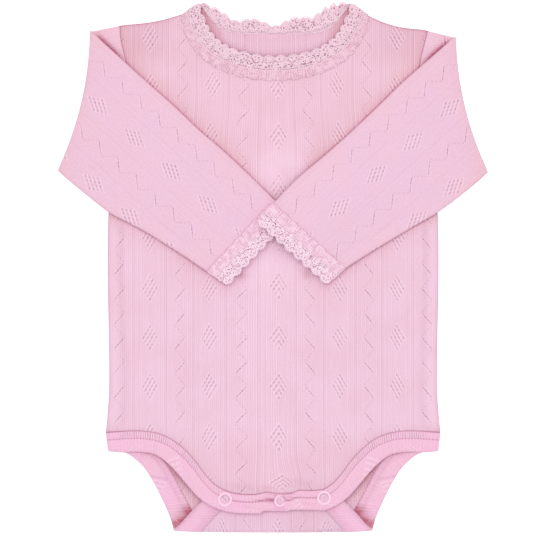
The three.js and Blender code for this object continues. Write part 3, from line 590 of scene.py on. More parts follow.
# Creases beside the middle snap: place, reach across and up, and how dark their painted shade is, which
# also sets how far they dent the front.
hem_crease_places = (
    (-1.6, -162.4, 3.2, 1.4, 0.5), (-8.0, -163.0, 5.5, 0.6, 0.35), (12.8, -160.6, 4.0, 0.6, 0.28),
    (11.6, -157.6, 3.6, 0.6, 0.25), (-3.0, -153.6, 6.0, 0.8, 0.16), (12.0, -152.6, 5.0, 0.8, 0.14),
    (5.6, -168.6, 6.4, 0.7, 0.16), (10.4, -162.4, 3.2, 0.7, 0.3), (1.4, -158.8, 4.0, 0.5, 0.22),
    (-21.0, -153.6, 13.0, 2.6, 0.12), (20.0, -150.2, 11.0, 2.6, 0.12), (-17.0, -167.4, 9.0, 1.0, 0.1),
    (24.0, -164.6, 6.0, 1.0, 0.1),
)
snap_places = {"left": (-33.2, -162.0, 0.0), "middle": (5.4, -162.8, 0.4), "right": (36.0, -161.0, 0.0)}


def front_floor(x, y):
    """Height of the underside of the front over the floor, also beyond its edges.

    It is low at its side and shoulder seams, pressed down a little by the cuffs, in soft waves
    below them, higher over the crotch tab and puckered round the middle snap.
    """
    out = np.abs(x - middle)
    half = 115.5 - 13.5 * smooth((y - 45) / 50)
    shoulder = 176.2 + (167.8 - 176.2) * np.abs(x) / 115.5
    inside = smooth((half - out) / 26) * smooth((shoulder - y) / 30)
    pressed = 0.55 * np.exp(-((x - 2) ** 2 + (y - 38) ** 2) / (2 * 34 ** 2))
    waves = 0.42 * np.sin((x + 12) / 13.5) * smooth((8 - y) / 40) * smooth((y + 128) / 40)
    rise = 3.6 * smooth((-92 - y) / 55) * (1 - smooth((out - 42) / 40))
    snap_x, snap_y, _ = snap_places["middle"]
    across, up = x - snap_x, y - snap_y
    near = np.exp(-(across ** 2 + up ** 2) / (2 * 12 ** 2))
    pucker = 0.45 * near * (1 + np.cos(3 * np.arctan2(up, across) + 0.6))
    return 1.3 + inside * (0.9 + waves - pressed) + rise + pucker - 0.9 * hem_creases(x, y)


def hem_creases(x, y):
    """How strong the short creases beside the middle snap are, from 0 to 1: they dent the front and are
    painted as shade.
    """
    return sum(
        dark * np.exp(-((x - at_x) / wide) ** 2 - ((y - at_y + 0.12 * (x - at_x)) / high) ** 2)
        for at_x, at_y, wide, high, dark in hem_crease_places
    )


# Where the sleeves lie on it. Upper end, underarm end and bow of each section: the fold, then ten
# on the way to the end of the lace.
sleeve_sections = {
    -1: (
        (-127.9, 165.9, -151.1, 67.2, 5.6), (-118.0, 157.2, -131.6, 51.9, 3.0),
        (-101.9, 142.5, -114.5, 38.6, 1.0), (-85.8, 128.0, -99.8, 30.8, 0.0),
        (-68.3, 112.4, -86.5, 23.5, 0.0), (-52.2, 97.0, -73.5, 15.3, 0.0),
        (-35.6, 82.8, -62.0, 8.0, 0.0), (-18.0, 66.4, -53.3, 2.1, 0.0),
        (1.5, 47.2, -45.6, -3.1, 0.0), (6.7, 41.9, -39.3, -7.4, 0.0),
        (12.3, 36.1, -32.6, -11.9, 0.0),
    ),
    1: (
        (128.5, 161.7, 151.6, 66.0, 5.4), (119.4, 154.4, 132.0, 50.6, 2.6),
        (108.2, 144.6, 115.4, 38.4, 1.0), (90.0, 128.7, 99.5, 29.2, 0.0),
        (72.0, 111.0, 86.0, 21.0, 0.0), (54.0, 94.0, 74.5, 14.2, 0.0),
        (36.0, 78.0, 64.5, 8.0, 0.0), (17.0, 61.9, 57.0, 3.2, 0.0),
        (0.2, 44.4, 50.7, -1.0, 0.0), (-4.8, 38.8, 44.9, -5.9, 0.0),
        (-10.2, 32.9, 38.9, -11.2, 0.0),
    ),
}


hem_seam = curve(hem_seam_line, np.linspace(0, 1, 61))
leg_right = curve([(middle + out, up) for out, up, _, _ in front_leg], np.linspace(0, 1, 120))[::-1]
leg_left = (leg_right[::-1] - (middle, 0)) * (-1, 1) + (middle, 0)
front_bottom = np.concatenate([leg_left, hem_seam[1:-1], leg_right])
x, y = panel_grid(front_bottom.T, top_line(front_neckline), 270, 330)
bunched = np.exp(-((x - 6) / 17) ** 2 - ((y + 150) / 12) ** 2)
drawn_x = x - bunched * (3.0 + 0.28 * (x - 7.5))
pushed_up = 2.4 * np.exp(-((x - 4.5) / 10) ** 2 - ((y + 12.5) / 15) ** 2)
knit = knit_place(drawn_x, y + bunched * (0.9 * (y + 149.7) - 3.6) - pushed_up)
eyelets, groove = openwork(knit)
below = front_floor(x, y)
soft_folds = 0.25 * np.sin(x / 9 + y / 40) * smooth((10 - y) / 30) * smooth((y + 118) / 30)
above = below + cloth_wall + soft_folds - 0.22 * eyelets - 0.10 * groove
from_side = np.minimum(side_place(1, y) - x, x - side_place(-1, y))
# Painted warmth and painted shade on the front: warmer and darker along the side edges, warmer over the
# chest, darker along the neckline edge and towards the shoulders, and rosy shade with a thin dark line
# beside the edges of the sleeves that lie on it.
warm = 0.6 * np.exp(-from_side / 9) * smooth(from_side / 2) + 0.4 * smooth((y - 30) / 60)
painted_shade_and_seams = (0.3 + 0.3 * (y > 60)) * np.exp(-from_side / 0.7)
# Below the sleeves, painted shade draws a soft valley down inside each side seam, with a painted lit strip
# outside it.
beside_seam = smooth((40 - y) / 15) * smooth((y + 116) / 10)
valley = 9.3 + 1.8 * smooth((-20 - y) / 80)
warm -= 0.45 * beside_seam * np.exp(-from_side / 9) * smooth(from_side / 2)
painted_shade_and_seams += beside_seam * 0.09 * np.exp(-((from_side - valley) / 2.4) ** 2)
painted_shade_and_seams -= beside_seam * 0.05 * np.exp(-((from_side - 4.2) / 2.6) ** 2)
front_top = np.interp(x, *top_line(front_neckline))
painted_shade_and_seams += (y > 150) * 0.6 * np.exp(-(front_top - y) / 0.7)
painted_shade_and_seams += 0.16 * smooth((abs(x - middle) - 60) / 26) * smooth((y - 134) / 24)
nearest_upper = np.full_like(x, 1e9)
for sign, rows in sleeve_sections.items():
    upper = distance(x, y, [row[:2] for row in rows])
    lower = distance(x, y, [row[2:4] for row in rows])
    nearest_upper = np.minimum(nearest_upper, upper)
    painted_shade_and_seams += contact(lower, 0.3, 0.08, 4.0)
    warm += 0.7 * np.exp(-np.minimum(upper, lower) / 6)
painted_shade_and_seams += contact(nearest_upper, 0.45, 0.16 - 0.1 * smooth((100 - y) / 40), 4.0)
# Light that comes back from the sleeves where they enclose the front.
for spot_x, spot_y, reach, lit in ((10.0, 64.0, 13.0, 0.2), (4.0, 9.0, 16.0, 0.22)):
    near = np.exp(-((x - spot_x) ** 2 + (y - spot_y) ** 2) / (2 * reach ** 2))
    painted_shade_and_seams -= lit * near
    warm -= 0.6 * near
# Where the lace of each cuff stands off near the lower corner it leaves a small hollow, painted as rosy
# shade.
for spot_x, spot_y in ((-21.5, -5.4), (24.2, -4.6)):
    hollow = np.exp(-((x - spot_x) ** 2 + (y - spot_y) ** 2) / (2 * 2.6 ** 2))
    painted_shade_and_seams += 0.26 * hollow
    warm += 0.9 * hollow
# Painted shade along the bottom edge and in the hem creases, and the front darker and warmer towards the
# bottom.
painted_shade_and_seams += contact(distance(x, y, front_bottom), 0.0, 0.12, 2.0) + hem_creases(x, y)
painted_shade_and_seams += 0.03 * smooth((-110 - y) / 25)
warm += 0.25 * smooth((-110 - y) / 25)
outer, inner = np.stack([x, y, above], -1), np.stack([x, y, below], -1)
front = cloth_piece("front", outer, inner, knit, np.clip(warm, 0, 1), 6, painted_shade_and_seams=np.clip(painted_shade_and_seams, -0.3, 0.8))
front.data.materials.append(knit_outside)
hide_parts("front_panel")
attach(front, "root")
front_trims = []

# Back leg bindings: the same knit cut across and folded double round the cut edge. They run on
# round the crotch fold along both sides of the tab.
band_rib = 1.55
second_row = 5.2


def strip_grid(one_edge, other_edge, along, across):
    """Places between two edges, each a row of x and y."""
    far = np.linspace(0, 1, across + 1)[:, None, None]
    way = np.linspace(0, 1, along + 1)
    return curve(one_edge, way) * (1 - far) + curve(other_edge, way) * far


def along_edge(line):
    """How far along each place of a row is, in millimetres."""
    step = np.hypot(*np.diff(line, axis=0).T[:2])
    return np.concatenate([[0], np.cumsum(step)])


def band_relief(across_mm, along_mm, width):
    """A folded band: two rows of cover stitch with ribs between, then a soft plain fold."""
    seam = -0.45 * np.exp(-(across_mm / 0.7) ** 2) - 0.35 * np.exp(-((across_mm - second_row) / 0.6) ** 2)
    ribbed = smooth(across_mm / 0.8) * (1 - smooth((across_mm - 4.4) / 0.7))
    ribs = 0.14 * np.cos(2 * np.pi * along_mm / band_rib) * ribbed
    fold = 0.25 * np.sin(np.pi * np.clip((across_mm - second_row) / (width - second_row), 0, 1))
    rounded = -0.6 * smooth(1 - (width - across_mm) / 1.2)
    return seam + ribs + fold + rounded


def band_piece(
    name, seam_edge, free_edge, along, across, place, shade=None, plain=0.0, ribbed=1.0, rosy=1.0,
):
    """A band between its seam and its free edge. place turns x, y and a height into points."""
    flat = strip_grid(seam_edge, free_edge, along, across)
    width = np.hypot(*(flat[-1] - flat[0]).T)[None, :]
    far = np.linspace(0, 1, across + 1)[:, None] * width
    way = np.broadcast_to(along_edge(flat[across // 2]), far.shape)
    relief = band_relief(far, way, width)
    knit = np.stack([way * 0.6 + repeat_across * plain_column, far + repeat_up * 0.5], -1)
    outer = place(flat[..., 0], flat[..., 1], double_wall + relief)
    inner = place(flat[..., 0], flat[..., 1], 0.0 * relief)
    # Painted shade along the free edge and from the shade function, with painted warmth that follows it so
    # that the shade turns rosy.
    painted_shade_and_seams = 0.12 * np.exp(-(width - far) / 0.5)
    if shade is not None:
        painted_shade_and_seams = painted_shade_and_seams + shade(flat[..., 0], flat[..., 1], far / width)
    out = np.abs(flat[..., 0])
    clear = ribbed * (1 - 0.65 * smooth((58 - out) / 16)) * (1 - smooth((out - 105) / 5))
    more = {"Across": far + plain, "Along": way, "Ribbed": clear}
    painted_shade_and_seams = np.clip(painted_shade_and_seams, 0, 0.95)
    return cloth_piece(name, outer, inner, knit, rosy * smooth((painted_shade_and_seams - 0.2) / 0.4), 4, painted_shade_and_seams=painted_shade_and_seams, more=more)


# Where the binding's own ends are joined, as a seam across it.
binding_join = ((85.4, -146.2), (74.4, -148.4))


def binding_shade(x, y, share):
    """Painted shade where the tab and the front band lie over a back binding, with the dark line of the
    seam that joins its ends and a soft line of its cover stitch.
    """
    side = np.sign(x - middle)[0, 0]
    open_side = (fold_line(x) - y < crotch_arc / 2) * (np.abs(x - middle) > 46)
    tab_edge = [
        (middle + side * half, fold_line(middle + half) + past - crotch_arc) for past, _, half in tab[4:]
    ]
    tab_away = distance(x, y, tab_edge)
    hollows = np.exp(-((y + 169.4) / 3.6) ** 2) + np.exp(-((y + 178.4) / 4.2) ** 2)
    under_tab = 0.95 * hollows * np.exp(-(tab_away / 5.6) ** 2) + 0.3 * np.exp(-tab_away / 3.0)
    joined = 0.3 * np.exp(-(distance(x, y, on_side(side, binding_join)) / 0.5) ** 2)
    laid = 0.14 * np.exp(-((share - 0.3) / 0.07) ** 2) + 0.05 * (share < 0.3)
    under_band = 0.32 * np.exp(-distance(x, y, on_side(side, front_leg, 2)) / 2.0)
    return open_side * under_tab + joined + laid + under_band


band_knit = knit_finish("binding knit", tone(248, 196, 224), shadow_pink, warm_pink, 0.4, 0.25, banded=True)
for side, sign in (("left", -1), ("right", 1)):
    seam = on_side(sign, back_leg)
    free = on_side(sign, back_leg, 2)
    for past, seam_out, free_out in tab:
        seam.append((middle + sign * seam_out, fold_line(middle + sign * seam_out) - past))
        free.append((middle + sign * free_out, fold_line(middle + sign * free_out) - past))
    binding = band_piece(f"back_binding_{side}", seam, free, 240, 16, folded, binding_shade, 12.0)
    binding.data.materials.append(band_knit)
    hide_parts(f"back_leg_band_{side}")
    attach(binding, "root")
    back_trims.append(binding)

# Front leg bindings and hem: folded bands held by two rows of cover stitch, with short ribs
# between the rows. The hem lies over the crotch tab and is pulled up a little at its middle snap.
def place_front_band(x, y, height):
    return np.stack([x, y, np.maximum(front_floor(x, y), double_wall + 0.3) + height], -1)


for side, sign in (("left", -1), ("right", 1)):
    seam = on_side(sign, front_leg)
    free = on_side(sign, front_leg, 2)
    binding = band_piece(f"front_binding_{side}", seam, free, 240, 20, place_front_band)
    binding.data.materials.append(band_knit)
    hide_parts(f"front_leg_band_{side}")
    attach(binding, "root")
    front_trims.append(binding)


def hem_shade(x, y, share):
    """Painted shade in the creases of the hem, and darker lines along its two rows of stitches pulled in.
    """
    rows = 0.3 * np.exp(-((share - 0.39) / 0.035) ** 2) + 0.2 * np.exp(-(share / 0.04) ** 2)
    return 1.2 * hem_creases(x, y) + rows


hem_free = curve(hem_free_line, np.linspace(0, 1, 61))
hem = band_piece("hem", hem_seam, hem_free, 200, 20, place_front_band, hem_shade, 0.0, 0.3, 0.3)
hem.data.materials.append(band_knit)
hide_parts("front_hem_band")
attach(hem, "root")
front_trims.append(hem)

# Sleeves: flattened tubes of the same rib. Each leaves its armhole, turns over at an oblique
# fold and lies back on the front, the right one on top of the left one's tip.
sleeve_half = 1.15
sleeve_bend = 3.0
bend_reach = 1.5
bend_way = 7.4
corner_reach = 9.0
lower_shift = 9.0
armhole_width = 119.0
# Where the knit's columns and rows lie on a sleeve: its direction, then offsets of the repeat.
sleeve_knit = {-1: ((-0.743, 0.669), 2.7, -144.6), 1: ((0.743, 0.669), 0.3, 97.3)}


def section_way(row, sign):
    """The way from the upper to the lower end of a section, and the direction square to it."""
    run = np.array(row[2:4]) - np.array(row[:2])
    return run, sign * np.array([-run[1], run[0]]) / np.hypot(*run)


def section(row, sign, share, inset=0.0):
    """Points across the sleeve between the two ends of a section, bowed inwards."""
    run, out = section_way(row, sign)
    share = np.asarray(share, float)[:, None]
    return np.array(row[:2]) + run * share - out * (inset + row[4] * 4 * share * (1 - share))


def across_sleeve(sign, place, share):
    """Points across the folded-back part of a sleeve: place 0 is the fold, 10 the lace's edge."""
    rows = sleeve_sections[sign]
    lines = [section(rows[0], sign, share, bend_reach)] + [section(row, sign, share) for row in rows[1:]]
    first = min(int(place), len(rows) - 2)
    return between(*(lines[np.clip(first + k, 0, len(rows) - 1)] for k in (-1, 0, 1, 2)), place - first)


def sleeve_floor(sign, plan, share):
    """Height of the underside of the folded-back part of a sleeve."""
    last = sleeve_sections[sign][-1]
    _, inwards = section_way(last, -sign)
    from_edge = (np.array(last[:2]) - plan) @ inwards
    cuff = 0.95 * smooth((36 - from_edge) / 20)
    over = (1 - smooth((from_edge - 26) / 62)) * (1 - smooth((share - 0.38) / 0.55))
    return 2 * (sleeve_bend - sleeve_half) + cuff + (5.4 * over if sign > 0 else 0.0)


def from_bend(plan, row):
    """How far places of the upper part are from the fold's line."""
    _, out = section_way(row, 1)
    return np.abs((plan - np.array(row[:2])) @ out)


def sleeve_round(width, half, face, back, turns=6, bulge=None):
    """Once round the flat tube: share of the width, height over the lower side, which face."""
    inset = sleeve_half / width
    bulge = half if bulge is None else bulge
    share, height, side = [], [], []
    for steps, one in ((face, 1), (back, -1)):
        flat = np.linspace(inset, 1 - inset, steps + 1)
        share += list(flat if one > 0 else flat[::-1])
        height += [sleeve_half - one * half] * (steps + 1)
        side += [one] * (steps + 1)
        turn = np.pi * np.arange(1, turns) / turns
        edge = 1 - inset + bulge / width * np.sin(turn)
        share += list(edge if one > 0 else 1 - edge)
        height += list(sleeve_half - one * half * np.cos(turn))
        side += [0] * (turns - 1)
    return np.array(share), np.array(height), np.array(side)


def sleeve_rings(sign, half, face, back, relief):
    """Rings of a sleeve from the armhole to the end of the cloth, with their knit places, painted warmth
    and painted shade.
    """
    seam_curve = [shoulder_end[sign]] + on_side(sign, armhole)
    fold_row = sleeve_sections[sign][0]
    fold_run, fold_out = section_way(fold_row, sign)
    (dir_x, dir_y), offset_across, offset_up = sleeve_knit[sign]
    corner = np.array(fold_row[2:4])
    corner_in = 0.6 * (np.array(sleeve_sections[sign][4][:2]) - corner) / 85.0
    places, knits, painted_warmths, painted_shades = [], [], [], []
    stages = [("lower", way) for way in np.linspace(0, 1, 27)[:-1]]
    stages += [("bend", turn) for turn in np.linspace(0, 1, 13)[:-1]]
    stages += [("upper", place) for place in np.linspace(0, 9, 213)]
    for stage, at in stages:
        if stage == "upper":
            width = np.hypot(*(across_sleeve(sign, at, [0.0]) - across_sleeve(sign, at, [1.0]))[0])
        elif stage == "bend":
            width = np.hypot(*fold_run)
        else:
            width = (1 - at) * armhole_width + at * np.hypot(*fold_run)
        share, height, side = sleeve_round(width, half, face, back)
        fold = section(fold_row, sign, share, bend_reach)
        if stage == "upper":
            plan = across_sleeve(sign, at, share)
            z = sleeve_floor(sign, plan, share) + 2 * sleeve_half - height
            flat = plan
        elif stage == "bend":
            radius = sleeve_bend - height
            plan = fold + fold_out * (radius * bend_reach / sleeve_bend * np.sin(np.pi * at))[:, None]
            z = sleeve_bend - radius * np.cos(np.pi * at)
            flat = fold + fold_out * bend_way * (1 - at)
        else:
            start = curve(seam_curve, share) + (sign * 0.03, 0.0)
            plan = start * (1 - at) + fold * at
            z = height
            from_fold = plan - fold
            reach = (from_fold @ fold_out)[:, None] * fold_out
            flat = fold + fold_out * bend_way + from_fold - 2 * reach
        near_corner = np.maximum(1 - np.hypot(*(plan - corner).T) / corner_reach, 0)[:, None]
        plan = plan + corner_in * near_corner ** 2
        across = flat @ (dir_y, -dir_x) - offset_across + (lower_shift if stage == "lower" else 0.0)
        up = flat @ (dir_x, dir_y) - offset_up
        knit = np.stack([across + sign * 10 * repeat_across, up], -1)
        if relief:
            eyelets, groove = openwork(knit)
            sunk = 0.24 * eyelets + 0.12 * groove
            near_fold = at / 9 if stage == "upper" else 0.0
            swell = 0.5 * np.sin(np.pi * share)
            soft = swell * np.sin(share * 9 + at * 3.1 + sign) * np.exp(-near_fold * 6)
            puff = swell * smooth((6.6 - at) / 2) + soft if stage == "upper" else 0.0
            under_side = (1 - share) * width
            puff = puff - 0.45 * np.exp(-((under_side - 9.0) / 2.2) ** 2) * smooth((near_fold - 0.3) / 0.2)
            if stage == "lower":
                z = z + np.where(side > 0, sunk, 0) - np.where(side < 0, sunk - 0.3 * at, 0)
            elif stage == "upper":
                z = z + np.where(side > 0, puff - sunk, 0) + np.where(side < 0, 0.1 * eyelets, 0)
        # Painted warmth near the sleeve's edges and its armhole; painted shade along its edges, in the slit
        # under the folded-back part, round the outer edge of the fold, and a little near the fold on the
        # folded-back part.
        edge = np.minimum(share, 1 - share) * width
        near_arm = 0.5 * np.exp(-at * 1.6) if stage == "upper" else 0.4
        painted_warmths.append(0.6 * np.exp(-edge / 5) * smooth(edge / 2) + near_arm)
        painted_shade_and_seams = 0.3 * np.exp(-edge / 0.7)
        if stage == "lower":
            away = distance(plan[:, 0], plan[:, 1], [row[:2] for row in sleeve_sections[sign]])
            from_tip = np.hypot(plan[:, 0] - fold_row[0], plan[:, 1] - fold_row[1])
            opening = smooth((from_tip - 3) / 7) * (1 - 0.7 * smooth((from_tip - 20) / 14))
            painted_shade_and_seams = painted_shade_and_seams + 1.0 * opening * np.exp(-(away / 2.2) ** 2) + 0.12 * opening * np.exp(-away / 4)
            painted_warmths[-1] = np.maximum(painted_warmths[-1], np.exp(-away / 4))
        elif stage == "bend":
            painted_shade_and_seams = np.full_like(share, 0.6 * np.exp(-((at - 0.5) / 0.3) ** 2))
            painted_warmths[-1] = 0.0 * edge
        else:
            away = from_bend(plan, fold_row)
            painted_shade_and_seams = painted_shade_and_seams + 0.05 * np.exp(-away / 6.0) + 0.05 * np.exp(-away / 28.0)
        places.append(np.column_stack([plan, z]))
        knits.append(knit)
        painted_shades.append(np.clip(painted_shade_and_seams, 0, 0.97))
    return np.array(places), np.array(knits), np.array(painted_warmths), np.array(painted_shades)


sleeve_knit_finish = knit_finish("sleeve knit", tone(240, 201, 224), shadow_pink, warm_pink, 0.45, 0.95)
sleeves = {}
for side, sign in (("left", -1), ("right", 1)):
    outer, knit, warm, painted_shade_and_seams = sleeve_rings(sign, sleeve_half, 115, 39, True)
    inner, _, _, _ = sleeve_rings(sign, sleeve_half - cloth_wall, 115, 39, False)
    sleeve = cloth_piece(f"sleeve_cloth_{side}", outer, inner, knit, warm, 5, True, painted_shade_and_seams)
    sleeve.data.materials.append(sleeve_knit_finish)
    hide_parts(f"sleeve_{side}")
    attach(sleeve, "root")
    sleeves[side] = (sleeve, outer, [])

# Laces: crocheted cotton edging in the same pink. The part that is sewn down is a fine mesh with
# crosswise ribs, held by small zigzag stitches, and the free part is scallops of loops and rings.
free_depth = 8.6
scallop_rise = 2.2
yarn = 0.40
lace_rib = 1.4
fan_pitch = 8.6
# How far the sewn edge swings, and how far the painted shade sheet under the loops stays inside the
# scallops' edge.
sewn_wave = 0.8
shade_sheet_in = 1.5
back_lace_edge = (
    (-55.8, 183.0), (-50.4, 185.4), (-43.6, 184.0), (-35.8, 180.2), (-29.0, 174.6), (-22.8, 173.2),
    (-15.6, 175.0), (-8.0, 173.4), (-0.6, 169.8), (5.0, 170.4), (11.4, 174.4), (19.4, 176.0),
    (28.0, 176.2), (34.0, 180.4),
    (39.6, 184.2), (45.6, 185.85), (52.6, 185.6), (58.6, 183.0),
)
loose = np.random.default_rng(7)
# Rings of one scallop: place across it from its middle, how far in from the edge, radius, how
# many times the usual yarn.
scallop_rings = (
    (-0.2, 2.5, 1.6, 1.3), (0.24, 2.7, 1.7, 1.4), (0.5, 3.8, 1.3, 1.2), (0.02, 4.6, 1.6, 1.35),
    (-0.34, 5.9, 1.35, 1.3), (0.3, 6.1, 1.4, 1.2), (0.0, 7.8, 1.2, 1.0), (0.5, 7.3, 1.15, 1.1),
)


def thread(line, radius, closed=False, sides=5):
    """A round yarn along a row of points: its places and its faces, turned outwards."""
    if closed:
        ahead = np.roll(line, -1, 0) - np.roll(line, 1, 0)
    else:
        ahead = np.gradient(line, axis=0)
    ahead = ahead / (np.linalg.norm(ahead, axis=1, keepdims=True) + 1e-9)
    side = np.cross(ahead, (0.0, 0.0, 1.0))
    side = side / (np.linalg.norm(side, axis=1, keepdims=True) + 1e-9)
    over = np.cross(side, ahead)
    turn = 2 * np.pi * np.arange(sides) / sides
    ring = np.cos(turn)[:, None] * side[:, None] + np.sin(turn)[:, None] * over[:, None]
    places = line[:, None] + radius * ring
    index = np.arange(len(line) * sides).reshape(-1, sides)
    if closed:
        index = np.vstack([index, index[:1]])
    around = np.hstack([index, index[:, :1]])
    quads = np.stack([around[:-1, :-1], around[1:, :-1], around[1:, 1:], around[:-1, 1:]], -1)
    faces = quads.reshape(-1, 4).tolist()
    if not closed:
        faces += [index[0].tolist(), index[-1, ::-1].tolist()]
    return places.reshape(-1, 3), faces


def threads_piece(name, threads, shade=None):
    """Many yarns in one mesh."""
    places, faces, first = [], [], 0
    for spots, quads in threads:
        places.append(spots)
        faces += [[first + one for one in quad] for quad in quads]
        first += len(spots)
    places = np.concatenate(places) / 1000
    nothing = np.zeros(len(places))
    painted_shade_and_seams = nothing if shade is None else shade(places[:, 0] * 1000)
    return new_piece(name, places, faces, np.zeros((len(places), 2)), {"PaintedWarmthAndMesh": nothing, "PaintedShadeAndSeams": painted_shade_and_seams})


def ring_line(across, out, radius, count=12):
    turn = 2 * np.pi * np.arange(count) / count
    return across + radius * np.cos(turn), out + radius * np.sin(turn)


def lace_threads(place, length, width, motifs, mesh=True):
    """Yarns of a lace. place takes a share of the way, how far out and how high, in millimetres.

    Two wavy yarns and a zigzag hold the mesh, a thick one follows the scallops, and each scallop
    has its rings with their knots, a row of small loops at its edge and short stitches behind.
    """
    pitch = length / motifs
    threads = []

    def lay(along, out, height, radius=yarn, closed=False):
        spots = place(np.asarray(along) / length, np.asarray(out), height + 0.0 * np.asarray(out))
        threads.append(thread(spots, radius, closed))

    def edge(along):
        return width(along / length) + scallop_rise * np.abs(np.sin(np.pi * along / pitch))

    way = np.linspace(0, length, int(length / 0.45))
    header = width(way / length) - free_depth
    for lift, wave, period in ((0.0, 0.22, 1.4), (1.5, 0.28, 1.8)) if mesh else ():
        lay(way, header + lift + wave * np.sin(2 * np.pi * way / period), 0.55)
    lay(way, edge(way) - 1.35, 0.6, yarn * 1.15)
    if mesh:
        way = np.arange(0, length, 0.8)
        lay(way, 0.3 + 1.3 * (np.arange(len(way)) % 2), 0.45, yarn * 0.5)
    for k in range(motifs):
        middle_of = (k + 0.5) * pitch
        for across, back, radius, thick in scallop_rings:
            spot = middle_of + across * pitch + loose.uniform(-0.5, 0.5)
            if spot < 1.2 or spot > length - 1.2:
                continue
            out = edge(spot) - back + loose.uniform(-0.5, 0.5)
            ring = ring_line(spot, out, radius * loose.uniform(0.7, 1.15), 14)
            knot = ring_line(spot + loose.uniform(-0.8, 0.8), out + loose.uniform(-0.7, 0.7), 0.5, 6)
            heights = 0.5 + loose.uniform(0.0, 0.5, 2)
            if out > radius:
                lay(*ring, heights[0], yarn * thick, closed=True)
                lay(*knot, heights[1], yarn * 1.4, closed=True)
        for step in range(6):
            spot = (k + (step + 0.5) / 6) * pitch
            ring = ring_line(spot, edge(spot) - 0.75 + loose.uniform(-0.1, 0.2), 0.62, 8)
            lay(*ring, 0.6 + loose.uniform(0.0, 0.3), yarn * 0.85, closed=True)
        for step in range(7):
            spot = (k + (step + 0.5) / 7) * pitch
            low = max(width(spot / length) - free_depth, 0.4)
            way_out = np.linspace(low, low + 1.6 + loose.uniform(0, 0.7), 4)
            lay(spot + 0.25 * np.linspace(-1, 1, 4) * (-1) ** step, way_out, 0.6, yarn * 0.8)
    return threads


def lace_finish(name, light, ribbed, painted_shade_and_seams):
    """Crochet: pale yarn, darker in the gaps between the ribs of the mesh, and painted shade under the
    loops.
    """
    material, shader, start = new_finish(name, 0.85, 0.3)
    along, out = start.knit_map()
    body = start.node("TexCoord", output=3)
    fuzz = start.noise(body, 1100.0)
    under = start.attribute("PaintedShadeAndSeams")
    mesh = start.attribute("PaintedWarmthAndMesh")
    fanned = along + (along * (2 * math.pi / fan_pitch)).maths("SINE") * (out - 4.0) * 0.22
    ribs = (fanned * (2 * math.pi / lace_rib)).maths("COSINE")
    rows = (out * (2 * math.pi / 2.1) + (along * 0.75).maths("SINE") * 1.8).maths("COSINE")
    blotches = start.noise(body, 330.0).fade(0.3, 0.7)
    gaps = ((1.0 - ribs) * (0.12 + blotches * 0.3) + (1.0 - rows) * 0.1 + blotches * 0.16) * mesh
    colour = (gaps + (fuzz - 0.5) * 0.6 * mesh + 0.05 * mesh).clamp().mix(light, ribbed)
    holes = under * (start.noise(body, 420.0).fade(0.42, 0.6) * 0.8 + 0.4)
    colour = (holes + (fuzz - 0.5) * 0.3 * under).clamp().mix(colour, painted_shade_and_seams)
    return surface(material, shader, colour, fuzz * 0.12 - gaps * 0.25)


def lace_shell(name, place, length, width, motifs, along_steps, out_steps, sewn_height=0.5):
    """The mesh part of a lace and, under its loops, a sheet coloured as painted shade, as one closed shell.
    """
    share = np.linspace(0, 1, along_steps + 1)
    along = np.broadcast_to(share * length, (out_steps + 1, along_steps + 1))
    wave = np.abs(np.sin(np.pi * share * motifs))
    full = width(share)
    low = -sewn_wave * wave
    high = full + scallop_rise * wave - shade_sheet_in
    out = low + (high - low) * np.linspace(0, 1, out_steps + 1)[:, None]
    under = smooth((out - (full - free_depth)) / 0.5)
    ribs = np.cos(2 * np.pi * along / lace_rib)
    height = 0.65 - 0.42 * under + 0.05 * ribs * (1 - under)
    height = height * (sewn_height + (1 - sewn_height) * smooth(out / 2.5))
    outer = place(along / length, out, height)
    inner = place(along / length, out, 0.0 * height)
    knit = np.stack([along, out], -1)
    open_yarn = 1 - 0.35 * smooth((out - (full - free_depth) - 3.0) / 2.4)
    painted_shade_and_seams = under * 0.9 * open_yarn * smooth(out / 2.4)
    return cloth_piece(name, outer, inner, knit, 1 - under, 2, painted_shade_and_seams=painted_shade_and_seams)


def place_front_lace(share, out, height):
    """On the front's neckline: from the sewn edge towards the free edge."""
    sewn, free = (curve(lace_edge(first), share) for first in (0, 2))
    run = free - sewn
    spot = sewn + run / np.hypot(run[..., 0], run[..., 1])[..., None] * out[..., None]
    lift = front_floor(spot[..., 0], spot[..., 1]) + cloth_wall + 0.1
    return np.concatenate([spot, (lift + height)[..., None]], -1)


def place_back_lace(share, out, height):
    """On the back's neckline: from the sewn edge to the free edge, deeper or shallower as it lies."""
    free = curve(back_lace_edge, share)
    inward = free[..., 0] * 0.95
    seam = np.stack([inward, 164.2 + 18.0 * np.minimum(np.abs(inward - neck_middle) / 50.6, 1.02) ** 5], -1)
    spot = free + (seam - free) * (1 - out / back_reach)[..., None]
    return np.concatenate([spot, (height + cloth_wall + 0.05)[..., None]], -1)


def join_threads(shell, threads, shade=None):
    """The yarns of a lace joined to its mesh and its painted shade sheet, in the lace's finish."""
    loops = threads_piece(f"{shell.name}_loops", threads, shade)
    bpy.ops.object.select_all(action="DESELECT")
    shell.select_set(True)
    loops.select_set(True)
    bpy.context.view_layer.objects.active = shell
    bpy.ops.object.join()
    bpy.ops.object.select_all(action="DESELECT")
    shell.data.materials.append(lace_pink)
    return shell


back_reach = 9.4
# Colours of the lace yarn, its mesh, and the painted shade under its loops.
lace_pink = lace_finish("lace yarn", tone(247, 214, 228), tone(222, 166, 188), tone(188, 120, 146))
front_lace_length = 154.0
front_scallops = 20
back_lace_length = 130.0
back_scallops = 17


def front_lace_width(share):
    return 15.2 - 3.6 * np.abs(2 * np.asarray(share) - 1) ** 10


